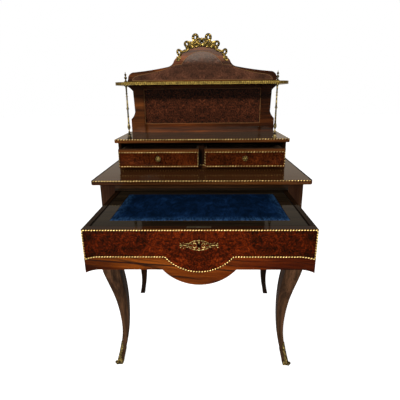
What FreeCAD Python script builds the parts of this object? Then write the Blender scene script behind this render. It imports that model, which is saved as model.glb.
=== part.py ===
"""Bonheur du jour: a lady's writing desk on cabriole legs, in rosewood and burr walnut.

Millimetres, +Z up.  The desk is modelled with y = 0 on the front face of its front posts,
x = 0 on its centre line and z = 0 on the floor, and then moved along y so that the origin
lies under the middle of everything.  The main drawer and both small drawers stand open.
"""
import FreeCAD, Part
import math
import os

# ---------------------------------------------------------------- driving dimensions
TOP_HEIGHT = 726.0          # floor to the writing desk's top surface
TOP_HALF_WIDTH = 356.0
TOP_THICKNESS = 15.0
TOP_FRONT_OVERHANG = 20.0
TOP_BACK_OVERHANG = 5.0
TOP_CORNER_RADIUS = 6.0
TOP_EDGE_ROUND = 4.0

CARCASS_HALF_WIDTH = 333.0  # outer face of the posts
CARCASS_DEPTH = 470.0       # front face of the front posts to back face of the back posts
POST = 48.0                 # square of each post
RAIL_HEIGHT = 23.0
RAIL_THICKNESS = 24.0
FACE_SETBACK = 1.0          # rails lie this far behind the posts' faces
APRON_THICKNESS = 18.0
APRON_DROP = 110.0          # desk top's underside to the straight part of the apron
APRON_EAR = 22.0            # extra drop where the apron meets a post
APRON_EAR_LENGTH = 62.0
SUPPORT_HEIGHT = 17.7       # rail and runners that carry the main drawer
SUPPORT_THICKNESS = 18.0
RUNNER_WIDTH = 23.0
GUIDE_WIDTH = 15.0
GUIDE_HEIGHT = 22.0
STOP_HEIGHT = 40.0

DRAWER_OPEN = 327.0         # how far the main drawer stands out at rest
DRAWER_LENGTH = 428.0       # face to back
DRAWER_FRONT_THICKNESS = 22.0
DRAWER_SIDE = 13.0
DRAWER_SIDE_HEIGHT = 87.0
DRAWER_CLEARANCE = 1.0      # between drawer and posts, each side
DRAWER_TOP_CLEARANCE = 4.0
DRAWER_KICK_CLEARANCE = 1.5
DRAWER_STOP_CLEARANCE = 0.4
DRAWER_BOTTOM = 6.0
DRAWER_BOTTOM_LIFT = 6.0
BAND_DEPTH = 107.0          # front's top edge to its straight bottom edge
CORNER_DROP = 9.0           # pointed bottom corners, below the straight edge
CORNER_LENGTH = 36.0
LOBE_HALF_WIDTH = 91.5
LOBE_DROP = 42.7
PANEL_DEPTH = 74.0          # front's top edge to the straight bottom edge of the burr panel
PANEL_CORNER_DROP = 6.5
PANEL_LOBE_HALF_WIDTH = 86.0
PANEL_LOBE_DROP = 41.7
VENEER = 1.0
TRIM_WIDTH = 4.0
TRIM_STAND = 2.5            # how far the brass rope stands off the wood
TRIM_ROUND = 1.2

BOARD_TRAVEL = 73.0         # how far the writing board slides back
BOARD_THICKNESS = 12.0
BOARD_CLEARANCE = 2.5       # between the board and the drawer's sides
BOARD_END_CLEARANCE = 1.5   # in front of the board, and behind it when slid back
BEARER_WIDTH = 12.0
BEARER_HEIGHT = 12.0
SEAT_CLEARANCE = 0.3
VELVET_HALF_WIDTH = 231.0
VELVET_DEPTH = 240.0
VELVET_FRONT_MARGIN = 35.0
VELVET_THICKNESS = 1.2

LOCK_HALF_WIDTH = 26.0
LOCK_HEIGHT = 44.0
LOCK_DEPTH = 12.0
LOCK_PLATE_HALF_WIDTH = 29.5  # brass plate in the front's top edge, over the lock's case
LOCK_PLATE = 2.0
BOLT_HALF_WIDTH = 6.0
BOLT_THICKNESS = 5.0
BOLT_LENGTH = 26.0
BOLT_TRAVEL = 7.0
BOLT_INSET = 3.0            # bolt's front face behind the front of the lock case
BOLT_CLEARANCE = 0.3
STRIKE_CLEARANCE = 1.5      # between the bolt and the walls of its slot in the rail
STRIKE_DEPTH = 8.0

KEYHOLE_DROP = 41.0         # front's top edge to the centre of the escutcheon
ESCUTCHEON_HALF_LENGTH = 46.5
ESCUTCHEON_HALF_HEIGHT = 12.5
ESCUTCHEON_THICKNESS = 2.0
KEYHOLE_RADIUS = 2.4

GRADIN_FRONT = 180.0        # small-drawer case standing on the desk top
GRADIN_BACK = 440.0
GRADIN_HALF_WIDTH = 309.0
GRADIN_HEIGHT = 94.0        # desk top to the underside of its own top
GRADIN_SIDE = 11.0
GRADIN_BOTTOM = 12.0
GRADIN_BACK_THICKNESS = 8.0
GRADIN_RAIL_HEIGHT = 12.0
GRADIN_RAIL_THICKNESS = 12.0
GRADIN_RAIL_SETBACK = 34.0
DIVIDER_HALF_WIDTH = 10.0
GRADIN_TOP_THICKNESS = 13.6
GRADIN_TOP_HALF_WIDTH = 320.0
GRADIN_TOP_OVERHANG = 10.0
EDGE_BEAD = 3.2             # brass bead let into the front edge of both tops

SMALL_OPEN = 56.0
SMALL_STOP_CLEARANCE = 0.4
SMALL_CLEARANCE = 1.0
SMALL_TOP_CLEARANCE = 3.0
SMALL_FRONT_THICKNESS = 18.0
SMALL_SIDE = 8.0
SMALL_BOTTOM = 5.0
SMALL_SIDE_DROP = 6.0       # sides stand this far below the front's top edge
SMALL_TRIM_TOP_MARGIN = 10.0
SMALL_TRIM_BOTTOM_MARGIN = 3.0
SMALL_TRIM_WIDTH = 3.4
KNOB_RADIUS = 10.8
KNOB_RISE = 4.0             # above the middle of the burr

PANEL_FRONT = 410.0         # front face of the tall back panel
PANEL_THICKNESS = 16.0
SHELF_HEIGHT = 189.7        # gradin top to the underside of the shelf
SHELF_THICKNESS = 10.6
SHELF_FRONT = 203.0
SHELF_HALF_WIDTH = 320.0
SHELF_STRAIGHT = 262.0      # half length of the straight front edge
SHELF_END_SWEEP = 58.0      # how far back the rounded ends reach
BAND_THICKNESS = 2.0
SPINDLE_X = 272.5
SPINDLE_Y = 216.0

FOOT_REACH = 33.0           # how far a toe is thrown forward of its post
KNEE_REACH = 14.0
SABOT_WALL = 1.6
SABOT_HEIGHT = 82.0         # tip of the leaf that climbs the outer corner of the leg
SABOT_BAND = 10.0           # height of the band round the toe
SABOT_LEAF_WAIST = 8.0      # half width of the leaf, seen along the leg's diagonal
SABOT_SPREAD = 13.0         # the same where the leaf grows out of the band
SABOT_LEAN = 7.0            # degrees that the leaf leans with the leg
TOE_RADIUS = 5.5            # scroll under the leaf, on which the toe ends
TOE_HALF_LENGTH = 8.0

# ---------------------------------------------------------------- derived places
TOP_UNDERSIDE = TOP_HEIGHT - TOP_THICKNESS
POST_INNER = CARCASS_HALF_WIDTH - POST
BACK_POST_FRONT = CARCASS_DEPTH - POST
BACK_APRON_FRONT = CARCASS_DEPTH - FACE_SETBACK - APRON_THICKNESS
RAIL_BOTTOM = TOP_UNDERSIDE - RAIL_HEIGHT

DRAWER_TOP = RAIL_BOTTOM - DRAWER_TOP_CLEARANCE
DRAWER_HALF_WIDTH = POST_INNER - DRAWER_CLEARANCE
DRAWER_FACE = -DRAWER_OPEN
DRAWER_FRONT_BACK = DRAWER_FACE + DRAWER_FRONT_THICKNESS
DRAWER_END = DRAWER_FACE + DRAWER_LENGTH
DRAWER_INNER = DRAWER_HALF_WIDTH - DRAWER_SIDE
DRAWER_BACK_FRONT = DRAWER_END - DRAWER_SIDE
DRAWER_SIDE_BOTTOM = DRAWER_TOP - DRAWER_SIDE_HEIGHT
SUPPORT_TOP = DRAWER_SIDE_BOTTOM - SEAT_CLEARANCE
SUPPORT_FRONT = DRAWER_FRONT_THICKNESS + 2.0

GRADIN_UNDERSIDE = TOP_HEIGHT + GRADIN_HEIGHT
GRADIN_TOP = GRADIN_UNDERSIDE + GRADIN_TOP_THICKNESS
GRADIN_INNER = GRADIN_HALF_WIDTH - GRADIN_SIDE
GRADIN_FLOOR = TOP_HEIGHT + GRADIN_BOTTOM
GRADIN_CEILING = GRADIN_UNDERSIDE - GRADIN_RAIL_HEIGHT
SMALL_FACE = GRADIN_FRONT - SMALL_OPEN
SMALL_END = GRADIN_BACK - GRADIN_BACK_THICKNESS - SMALL_STOP_CLEARANCE - SMALL_OPEN
SMALL_INNER_EDGE = DIVIDER_HALF_WIDTH + SMALL_CLEARANCE
SMALL_OUTER_EDGE = GRADIN_INNER - SMALL_CLEARANCE
SMALL_FLOOR = GRADIN_FLOOR + SEAT_CLEARANCE
SMALL_TOP = GRADIN_CEILING - SMALL_TOP_CLEARANCE
SMALL_CENTRE = (SMALL_INNER_EDGE + SMALL_OUTER_EDGE) / 2

SHELF_BOTTOM = GRADIN_TOP + SHELF_HEIGHT
SHELF_TOP = SHELF_BOTTOM + SHELF_THICKNESS

BOARD_FRONT = DRAWER_FRONT_BACK + BOARD_END_CLEARANCE
BOARD_BACK = DRAWER_BACK_FRONT - BOARD_END_CLEARANCE - BOARD_TRAVEL
BOARD_BOTTOM = DRAWER_TOP - BOARD_THICKNESS


# ---------------------------------------------------------------- small helpers
def vector(x, y, z):
    return FreeCAD.Vector(x, y, z)


def block(x0, x1, y0, y1, z0, z1):
    """A straight-edged piece of wood between three pairs of planes."""
    return Part.makeBox(x1 - x0, y1 - y0, z1 - z0, vector(x0, y0, z0))


def mirrored(shape):
    """The same piece on the other side of the desk."""
    return shape.mirror(vector(0, 0, 0), vector(1, 0, 0))


def both_sides(shape):
    return Part.makeCompound([shape, mirrored(shape)])


def front_point(place):
    """A point of an outline drawn on the front: (x, z)."""
    return vector(place[0], 0, place[1])


def line(start, end):
    return Part.LineSegment(front_point(start), front_point(end)).toShape()


def arc(start, middle, end):
    return Part.Arc(front_point(start), front_point(middle), front_point(end)).toShape()


def bowed(start, end, bow):
    """Arc whose middle stands off the chord from start to end by `bow` times its length."""
    across = end[0] - start[0]
    up = end[1] - start[1]
    middle = ((start[0] + end[0]) / 2 - bow * up, (start[1] + end[1]) / 2 + bow * across)
    return arc(start, middle, end)


def curve(places):
    spline = Part.BSplineCurve()
    spline.interpolate([front_point(place) for place in places])
    return spline.toShape()


def symmetric_face(right_half):
    """The face inside an outline given by its right half, from centre line to centre line."""
    left_half = [mirrored(edge) for edge in right_half]
    wire = Part.Wire(Part.__sortEdges__(right_half + left_half))
    return Part.Face(wire)


def slab(face, front, thickness):
    """A face drawn on the front, given a thickness from `front` towards the back."""
    solid = face.extrude(vector(0, thickness, 0))
    solid.translate(vector(0, front, 0))
    return solid


def rope_ring(face, width, front, stand):
    """A rope-width frame inside the edge of a face, standing off the surface at `front`."""
    inner = face.makeOffset2D(-width)
    return slab(face.cut(inner), front - stand, stand)


def turned(profile, base):
    """A turned piece on a vertical axis through `base`.

    Each entry is (radius, height) for a straight stretch up to there, or
    (radius, height, belly) for an arc whose middle has the radius `belly`.
    """
    edges = []
    r0, z0 = profile[0]
    edges.append(line((0, z0), (r0, z0)))
    for entry in profile[1:]:
        r1, z1 = entry[0], entry[1]
        if len(entry) == 3:
            edges.append(arc((r0, z0), (entry[2], (z0 + z1) / 2), (r1, z1)))
        else:
            edges.append(line((r0, z0), (r1, z1)))
        r0, z0 = r1, z1
    edges.append(line((r0, z0), (0, z0)))
    edges.append(line((0, z0), (0, profile[0][1])))
    face = Part.Face(Part.Wire(edges))
    solid = face.revolve(vector(0, 0, 0), vector(0, 0, 1), 360)
    solid.translate(base)
    return solid


# ---------------------------------------------------------------- cabriole legs
# Each station: height, throw towards the outside, throw towards the front, half thickness.
LEG_STATIONS = [
    (0.0, 10.0, FOOT_REACH, 11.5),
    (30.0, 3.0, 21.0, 10.3),
    (60.0, -3.5, 9.0, 10.4),
    (110.0, -11.0, -5.0, 11.3),
    (180.0, -13.0, -12.0, 15.0),
    (280.0, -7.0, -7.0, 22.0),
    (360.0, 5.0, 5.0, 28.0),
    (430.0, KNEE_REACH, KNEE_REACH, 29.5),
    (500.0, 8.0, 8.0, 27.0),
    (560.0, 1.0, 1.0, POST / 2 + 0.3),
    (590.0, 0.0, 0.0, POST / 2),
]
LEG_CORNER = 0.16           # corner radius of a section, as a share of its half thickness


def leg_section(station, grow=0.0):
    """A square section with softened corners, centred on the leg at one height."""
    z, outward, forward, half = station
    x = CARCASS_HALF_WIDTH - POST / 2 + outward
    y = POST / 2 - forward
    radius = half * LEG_CORNER + grow
    half = half + grow
    straight = half - radius
    diagonal = straight + radius * math.sqrt(0.5)
    edges = []
    for turn in range(4):
        angle = turn * 90.0
        side = Part.LineSegment(vector(half, -straight, 0), vector(half, straight, 0)).toShape()
        corner = Part.Arc(vector(half, straight, 0), vector(diagonal, diagonal, 0),
                          vector(straight, half, 0)).toShape()
        for edge in (side, corner):
            edge.rotate(vector(0, 0, 0), vector(0, 0, 1), angle)
            edge.translate(vector(x, y, z))
            edges.append(edge)
    return Part.Wire(edges)


def leg_front_right():
    """S-curved leg below, square post above, in one piece of wood."""
    curved = Part.makeLoft([leg_section(station) for station in LEG_STATIONS], True, False)
    post = block(POST_INNER, CARCASS_HALF_WIDTH, 0, POST, LEG_STATIONS[-1][0], TOP_UNDERSIDE)
    return curved.fuse(post)


def toe_corner():
    """The leg's outer front corner on the floor."""
    floor, outward, forward, half = LEG_STATIONS[0]
    return vector(CARCASS_HALF_WIDTH - POST / 2 + outward + half, POST / 2 - forward - half, floor)


def sabot_leaf():
    """Outline of the shoe, seen along the diagonal of the foot: a band and a pointed leaf."""
    foot = 3 * SABOT_SPREAD
    waist = (SABOT_BAND + SABOT_HEIGHT) / 2
    shoulder = (SABOT_BAND + waist) / 2
    near_tip = (waist + SABOT_HEIGHT) / 2
    right_half = [
        line((0, 0), (foot, 0)),
        line((foot, 0), (foot, SABOT_BAND)),
        line((foot, SABOT_BAND), (SABOT_SPREAD, SABOT_BAND)),
        arc((SABOT_SPREAD, SABOT_BAND), (SABOT_LEAF_WAIST, shoulder), (SABOT_LEAF_WAIST, waist)),
        arc((SABOT_LEAF_WAIST, waist), (SABOT_LEAF_WAIST * 0.8, near_tip), (0, SABOT_HEIGHT)),
    ]
    return symmetric_face(right_half)


def toe_scroll():
    """A small rounded scroll across the tip of the toe."""
    scroll = Part.makeCylinder(TOE_RADIUS, 2 * TOE_HALF_LENGTH, vector(-TOE_HALF_LENGTH, 0, 0),
                               vector(1, 0, 0))
    return scroll.makeFillet(TOE_RADIUS / 2, scroll.Edges)


def on_toe(shape):
    """Turns a piece drawn on the front to face along the foot's diagonal, at its outer corner."""
    shape.rotate(vector(0, 0, 0), vector(0, 0, 1), 45)
    shape.translate(toe_corner())
    return shape


def sabot_front_right():
    """Gilt shoe: a thin band round the toe, a leaf up the outer corner and a scroll in front."""
    outer = Part.makeLoft([leg_section(s, SABOT_WALL) for s in LEG_STATIONS], True, False)
    leaf = sabot_leaf().extrude(vector(0, 2 * POST, 0))
    leaf.translate(vector(0, -POST, 0))
    leaf.rotate(vector(0, 0, 0), vector(0, 1, 0), SABOT_LEAN)
    below = block(-2 * POST, 2 * POST, -2 * POST, 2 * POST, 0, SABOT_BAND)
    cover = outer.common(on_toe(leaf.fuse(below)))
    scroll = on_toe(toe_scroll())
    scroll.translate(vector(-TOE_RADIUS / 3, TOE_RADIUS / 3, TOE_RADIUS))
    return cover.fuse(scroll).cut(leg_front_right())


def to_back(shape):
    """The same piece at the back of the desk, turned to face backwards."""
    return shape.mirror(vector(0, CARCASS_DEPTH / 2, 0), vector(0, 1, 0))


# ---------------------------------------------------------------- carcass
def desk_top():
    """Top with rounded plan corners, a softened lower edge and a groove for the bead."""
    front = -TOP_FRONT_OVERHANG
    back = CARCASS_DEPTH + TOP_BACK_OVERHANG
    top = block(-TOP_HALF_WIDTH, TOP_HALF_WIDTH, front, back, TOP_UNDERSIDE, TOP_HEIGHT)
    upright = [e for e in top.Edges if abs(e.BoundBox.ZLength - TOP_THICKNESS) < 0.01]
    top = top.makeFillet(TOP_CORNER_RADIUS, upright)
    lower = [e for e in top.Edges if e.BoundBox.ZMax < TOP_UNDERSIDE + 0.01
             and e.BoundBox.YMin < back - 0.01]
    top = top.makeFillet(TOP_EDGE_ROUND, lower)
    return top.cut(desk_top_groove())


def desk_top_groove():
    length = TOP_HALF_WIDTH - TOP_CORNER_RADIUS
    front = -TOP_FRONT_OVERHANG
    return block(-length, length, front, front + EDGE_BEAD, TOP_HEIGHT - EDGE_BEAD, TOP_HEIGHT)


def rounded_bead(strip, radius):
    """Softens the front upper edge of a bead that lies along x."""
    box = strip.BoundBox
    edges = [e for e in strip.Edges if abs(e.BoundBox.YMax - box.YMin) < 0.01
             and abs(e.BoundBox.ZMin - box.ZMax) < 0.01]
    return strip.makeFillet(radius, edges)


def desk_top_trim():
    return rounded_bead(desk_top_groove(), EDGE_BEAD * 0.6)


def top_rail():
    """Rail over the main drawer, with a slot for the lock's bolt."""
    rail = block(-POST_INNER, POST_INNER, FACE_SETBACK, FACE_SETBACK + RAIL_THICKNESS,
                 RAIL_BOTTOM, TOP_UNDERSIDE)
    bolt_y = DRAWER_FRONT_THICKNESS - LOCK_DEPTH + BOLT_INSET
    slot = block(-BOLT_HALF_WIDTH - STRIKE_CLEARANCE, BOLT_HALF_WIDTH + STRIKE_CLEARANCE,
                 bolt_y - STRIKE_CLEARANCE, bolt_y + BOLT_THICKNESS + STRIKE_CLEARANCE,
                 RAIL_BOTTOM, RAIL_BOTTOM + STRIKE_DEPTH)
    return rail.cut(slot)


def apron_outline(start, end):
    """Apron between two posts: straight in the middle, deeper where it meets them."""
    low = TOP_UNDERSIDE - APRON_DROP
    ear = low - APRON_EAR
    middle = low - APRON_EAR * 0.22
    reach = APRON_EAR_LENGTH
    edges = [
        line((start, TOP_UNDERSIDE), (end, TOP_UNDERSIDE)),
        line((end, TOP_UNDERSIDE), (end, ear)),
        arc((end, ear), (end - reach * 0.42, middle), (end - reach, low)),
        line((end - reach, low), (start + reach, low)),
        arc((start + reach, low), (start + reach * 0.42, middle), (start, ear)),
        line((start, ear), (start, TOP_UNDERSIDE)),
    ]
    return Part.Face(Part.Wire(edges))


def apron_right():
    board = slab(apron_outline(POST, BACK_POST_FRONT), 0, APRON_THICKNESS)
    board.rotate(vector(0, 0, 0), vector(0, 0, 1), 90)
    board.translate(vector(CARCASS_HALF_WIDTH - FACE_SETBACK, 0, 0))
    return board


def apron_back():
    return slab(apron_outline(-POST_INNER, POST_INNER), BACK_APRON_FRONT, APRON_THICKNESS)


def support_rail():
    """Rail under the main drawer, hidden behind its front when it is shut."""
    return block(-POST_INNER, POST_INNER, SUPPORT_FRONT, SUPPORT_FRONT + SUPPORT_THICKNESS,
                 SUPPORT_TOP - SUPPORT_HEIGHT, SUPPORT_TOP)


def drawer_runner_right():
    """Runner under the drawer's side, with a guide strip that keeps the drawer straight."""
    runner = block(POST_INNER - RUNNER_WIDTH, POST_INNER, SUPPORT_FRONT + SUPPORT_THICKNESS,
                   BACK_APRON_FRONT, SUPPORT_TOP - SUPPORT_HEIGHT, SUPPORT_TOP)
    guide = block(POST_INNER, POST_INNER + GUIDE_WIDTH, POST, BACK_POST_FRONT,
                  SUPPORT_TOP - SUPPORT_HEIGHT, SUPPORT_TOP + GUIDE_HEIGHT)
    return runner.fuse(guide).removeSplitter()


def drawer_kickers():
    """Strips over the drawer's sides, which stop the open drawer from tipping."""
    return both_sides(block(POST_INNER - RUNNER_WIDTH, POST_INNER,
                            FACE_SETBACK + RAIL_THICKNESS, BACK_APRON_FRONT,
                            DRAWER_TOP + DRAWER_KICK_CLEARANCE, TOP_UNDERSIDE))


def drawer_stops():
    """Blocks on the back apron, just behind the shut drawer."""
    return both_sides(block(DRAWER_INNER, POST_INNER, DRAWER_LENGTH + DRAWER_STOP_CLEARANCE,
                            BACK_APRON_FRONT, SUPPORT_TOP, SUPPORT_TOP + STOP_HEIGHT))


# ---------------------------------------------------------------- main drawer
def drawer_outline(half_width, top, flat, corner, lobe_half_width, lobe_drop):
    """Front outline: straight sides, pointed bottom corners, a round lobe in the middle."""
    tip = flat - corner
    sweep = (half_width - CORNER_LENGTH * 0.55, flat - corner * 0.22)
    lobe_bottom = flat - lobe_drop
    radius = (lobe_half_width ** 2 + lobe_drop ** 2) / (2 * lobe_drop)
    part_way = lobe_half_width / 2
    on_lobe = lobe_bottom + radius - math.sqrt(radius ** 2 - part_way ** 2)
    right_half = [
        line((0, top), (half_width, top)),
        line((half_width, top), (half_width, tip)),
        arc((half_width, tip), sweep, (half_width - CORNER_LENGTH, flat)),
        line((half_width - CORNER_LENGTH, flat), (lobe_half_width, flat)),
        arc((lobe_half_width, flat), (part_way, on_lobe), (0, lobe_bottom)),
    ]
    return symmetric_face(right_half)


def burr_panel_face():
    return drawer_outline(DRAWER_HALF_WIDTH, DRAWER_TOP, DRAWER_TOP - PANEL_DEPTH,
                          PANEL_CORNER_DROP, PANEL_LOBE_HALF_WIDTH, PANEL_LOBE_DROP)


def lock_place(shape):
    """Moves a piece drawn about the lock to the middle of the drawer's front."""
    shape.translate(vector(0, DRAWER_FRONT_BACK - LOCK_DEPTH, DRAWER_TOP))
    return shape


def lock_pocket():
    """Room for the lock: its case, and over that the plate let into the top edge."""
    case = block(-LOCK_HALF_WIDTH, LOCK_HALF_WIDTH, 0, LOCK_DEPTH, -LOCK_PLATE - LOCK_HEIGHT,
                 -LOCK_PLATE)
    plate = block(-LOCK_PLATE_HALF_WIDTH, LOCK_PLATE_HALF_WIDTH, 0, LOCK_DEPTH, -LOCK_PLATE, 0)
    return lock_place(case.fuse(plate))


def bolt_way(clearance):
    """The space that the bolt slides in, from the lock's middle up to the top edge."""
    low = BOLT_INSET - clearance
    high = BOLT_INSET + BOLT_THICKNESS + clearance
    half = BOLT_HALF_WIDTH + clearance
    return lock_place(block(-half, half, low, high, -BOLT_LENGTH - clearance, 0))


def drawer_front():
    """Shaped board, recessed for the burr veneer and mortised for the lock."""
    face = drawer_outline(DRAWER_HALF_WIDTH, DRAWER_TOP, DRAWER_TOP - BAND_DEPTH,
                          CORNER_DROP, LOBE_HALF_WIDTH, LOBE_DROP)
    board = slab(face, DRAWER_FACE, DRAWER_FRONT_THICKNESS)
    board = board.cut(drawer_front_veneer())
    board = board.cut(lock_pocket())
    return board.cut(bolt_way(BOLT_CLEARANCE)).cut(keyhole(DRAWER_FACE, LOCK_DEPTH))


def drawer_front_veneer():
    veneer = slab(burr_panel_face(), DRAWER_FACE, VENEER)
    return veneer.cut(keyhole(DRAWER_FACE, LOCK_DEPTH))


def drawer_front_trim():
    """Brass rope round the burr panel."""
    return rope_ring(burr_panel_face(), TRIM_WIDTH, DRAWER_FACE, TRIM_STAND)


def keyhole(front, depth):
    """Round hole with a slot below it, seen from the front."""
    centre = DRAWER_TOP - KEYHOLE_DROP
    barrel = Part.makeCylinder(KEYHOLE_RADIUS, depth, vector(0, front, centre), vector(0, 1, 0))
    slot = block(-KEYHOLE_RADIUS / 2, KEYHOLE_RADIUS / 2, front, front + depth,
                 centre - 3 * KEYHOLE_RADIUS, centre)
    return barrel.fuse(slot)


def drawer_escutcheon():
    """Long pierced plate round the keyhole, with a knop at each end."""
    length = ESCUTCHEON_HALF_LENGTH
    height = ESCUTCHEON_HALF_HEIGHT
    upper = curve([(0, height), (length * 0.32, height * 0.86), (length * 0.5, height * 0.42),
                   (length * 0.66, height * 0.34), (length * 0.84, height * 0.42), (length, 0)])
    lower = curve([(length, 0), (length * 0.84, -height * 0.42), (length * 0.66, -height * 0.34),
                   (length * 0.5, -height * 0.42), (length * 0.32, -height * 0.86), (0, -height)])
    front = DRAWER_FACE - ESCUTCHEON_THICKNESS
    plate = slab(symmetric_face([upper, lower]), front, ESCUTCHEON_THICKNESS)
    eye = symmetric_face([arc((0, height * 0.62), (height * 0.5, height * 0.52),
                              (height * 0.95, 0)),
                          arc((height * 0.95, 0), (height * 0.5, -height * 0.52),
                              (0, -height * 0.62))])
    bridge = symmetric_face([line((0, height), (KEYHOLE_RADIUS * 2, height)),
                             line((KEYHOLE_RADIUS * 2, height), (KEYHOLE_RADIUS * 2, -height)),
                             line((KEYHOLE_RADIUS * 2, -height), (0, -height))])
    piercing = slab(eye.cut(bridge), front, ESCUTCHEON_THICKNESS)
    plate = plate.cut(piercing)
    plate.translate(vector(0, 0, DRAWER_TOP - KEYHOLE_DROP))
    return plate.cut(keyhole(front, ESCUTCHEON_THICKNESS))


def drawer_side_right():
    return block(DRAWER_INNER, DRAWER_HALF_WIDTH, DRAWER_FRONT_BACK, DRAWER_END,
                 DRAWER_SIDE_BOTTOM, DRAWER_TOP)


def drawer_back():
    return block(-DRAWER_INNER, DRAWER_INNER, DRAWER_BACK_FRONT, DRAWER_END,
                 DRAWER_SIDE_BOTTOM, DRAWER_TOP)


def drawer_bottom():
    bottom = DRAWER_SIDE_BOTTOM + DRAWER_BOTTOM_LIFT
    return block(-DRAWER_INNER, DRAWER_INNER, DRAWER_FRONT_BACK, DRAWER_BACK_FRONT,
                 bottom, bottom + DRAWER_BOTTOM)


def board_bearers():
    """Strips inside the drawer's sides, on which the writing board slides."""
    top = BOARD_BOTTOM - SEAT_CLEARANCE
    return both_sides(block(DRAWER_INNER - BEARER_WIDTH, DRAWER_INNER, DRAWER_FRONT_BACK,
                            DRAWER_BACK_FRONT, top - BEARER_HEIGHT, top))


def drawer_lock():
    """Lock case in the back of the drawer's front and its brass plate, with a way for the bolt."""
    return lock_pocket().cut(bolt_way(BOLT_CLEARANCE))


def lock_bolt():
    return bolt_way(0)


# ---------------------------------------------------------------- writing board
def velvet_block():
    front = BOARD_FRONT + VELVET_FRONT_MARGIN
    return block(-VELVET_HALF_WIDTH, VELVET_HALF_WIDTH, front, front + VELVET_DEPTH,
                 DRAWER_TOP - VELVET_THICKNESS, DRAWER_TOP)


def writing_board():
    """Board that fills the top of the drawer, sunk in the middle for the velvet."""
    half = DRAWER_INNER - BOARD_CLEARANCE
    board = block(-half, half, BOARD_FRONT, BOARD_BACK, BOARD_BOTTOM, DRAWER_TOP)
    return board.cut(velvet_block())


# ---------------------------------------------------------------- small-drawer case
def gradin_bottom():
    return block(-GRADIN_INNER, GRADIN_INNER, GRADIN_FRONT, GRADIN_BACK, TOP_HEIGHT,
                 GRADIN_FLOOR)


def gradin_side_right():
    return block(GRADIN_INNER, GRADIN_HALF_WIDTH, GRADIN_FRONT, GRADIN_BACK, TOP_HEIGHT,
                 GRADIN_UNDERSIDE)


def gradin_back():
    return block(-GRADIN_INNER, GRADIN_INNER, GRADIN_BACK - GRADIN_BACK_THICKNESS, GRADIN_BACK,
                 GRADIN_FLOOR, GRADIN_UNDERSIDE)


def gradin_divider():
    return block(-DIVIDER_HALF_WIDTH, DIVIDER_HALF_WIDTH, GRADIN_FRONT,
                 GRADIN_BACK - GRADIN_BACK_THICKNESS, GRADIN_FLOOR, GRADIN_CEILING)


def gradin_front_rail():
    front = GRADIN_FRONT + GRADIN_RAIL_SETBACK
    return block(-GRADIN_INNER, GRADIN_INNER, front, front + GRADIN_RAIL_THICKNESS,
                 GRADIN_CEILING, GRADIN_UNDERSIDE)


def gradin_plinth_trim():
    """Brass bead along the foot of the case, just under the small drawers."""
    strip = block(-GRADIN_HALF_WIDTH, GRADIN_HALF_WIDTH, GRADIN_FRONT - TRIM_STAND, GRADIN_FRONT,
                  GRADIN_FLOOR - EDGE_BEAD, GRADIN_FLOOR)
    return rounded_bead(strip, TRIM_ROUND)


def gradin_top_groove():
    length = GRADIN_TOP_HALF_WIDTH - TOP_CORNER_RADIUS / 2
    front = GRADIN_FRONT - GRADIN_TOP_OVERHANG
    return block(-length, length, front, front + EDGE_BEAD, GRADIN_TOP - EDGE_BEAD, GRADIN_TOP)


def gradin_top():
    top = block(-GRADIN_TOP_HALF_WIDTH, GRADIN_TOP_HALF_WIDTH, GRADIN_FRONT - GRADIN_TOP_OVERHANG,
                GRADIN_BACK + GRADIN_TOP_OVERHANG, GRADIN_UNDERSIDE, GRADIN_TOP)
    upright = [e for e in top.Edges if abs(e.BoundBox.ZLength - GRADIN_TOP_THICKNESS) < 0.01]
    top = top.makeFillet(TOP_CORNER_RADIUS / 2, upright)
    lower = [e for e in top.Edges if e.BoundBox.ZMax < GRADIN_UNDERSIDE + 0.01
             and e.BoundBox.YMin < GRADIN_BACK]
    top = top.makeFillet(TOP_EDGE_ROUND, lower)
    return top.cut(gradin_top_groove())


def gradin_top_trim():
    return rounded_bead(gradin_top_groove(), EDGE_BEAD * 0.6)


# ---------------------------------------------------------------- small drawers
def small_face_outline(inset_side, inset_bottom, inset_top):
    """Rectangle on the front of the right-hand small drawer."""
    x0 = SMALL_INNER_EDGE + inset_side
    x1 = SMALL_OUTER_EDGE - inset_side
    z0 = SMALL_FLOOR + inset_bottom
    z1 = SMALL_TOP - inset_top
    corners = [(x0, z0), (x1, z0), (x1, z1), (x0, z1), (x0, z0)]
    edges = [line(a, b) for a, b in zip(corners, corners[1:])]
    return Part.Face(Part.Wire(edges))


def small_drawer_veneer_right():
    face = small_face_outline(0, SMALL_TRIM_BOTTOM_MARGIN, SMALL_TRIM_TOP_MARGIN)
    return slab(face, SMALL_FACE, VENEER)


def small_drawer_front_right():
    board = slab(small_face_outline(0, 0, 0), SMALL_FACE, SMALL_FRONT_THICKNESS)
    return board.cut(small_drawer_veneer_right())


def small_drawer_trim_right():
    face = small_face_outline(0, SMALL_TRIM_BOTTOM_MARGIN, SMALL_TRIM_TOP_MARGIN)
    return rope_ring(face, SMALL_TRIM_WIDTH, SMALL_FACE, TRIM_STAND)


def small_drawer_knob_right():
    """Turned brass knob: a foot against the wood, a neck and a broad low head."""
    r = KNOB_RADIUS
    profile = [(r * 0.6, 0), (r * 0.6, r * 0.12), (r * 0.34, r * 0.26), (r * 0.34, r * 0.55),
               (r * 0.9, r * 0.8), (r, r * 1.02, r * 0.98), (r * 0.72, r * 1.3, r * 0.92),
               (r * 0.3, r * 1.42, r * 0.54)]
    knob = turned(profile, vector(0, 0, 0))
    knob.rotate(vector(0, 0, 0), vector(1, 0, 0), 90)
    middle = (SMALL_FLOOR + SMALL_TRIM_BOTTOM_MARGIN + SMALL_TOP - SMALL_TRIM_TOP_MARGIN) / 2
    knob.translate(vector(SMALL_CENTRE, SMALL_FACE, middle + KNOB_RISE))
    return knob


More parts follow.
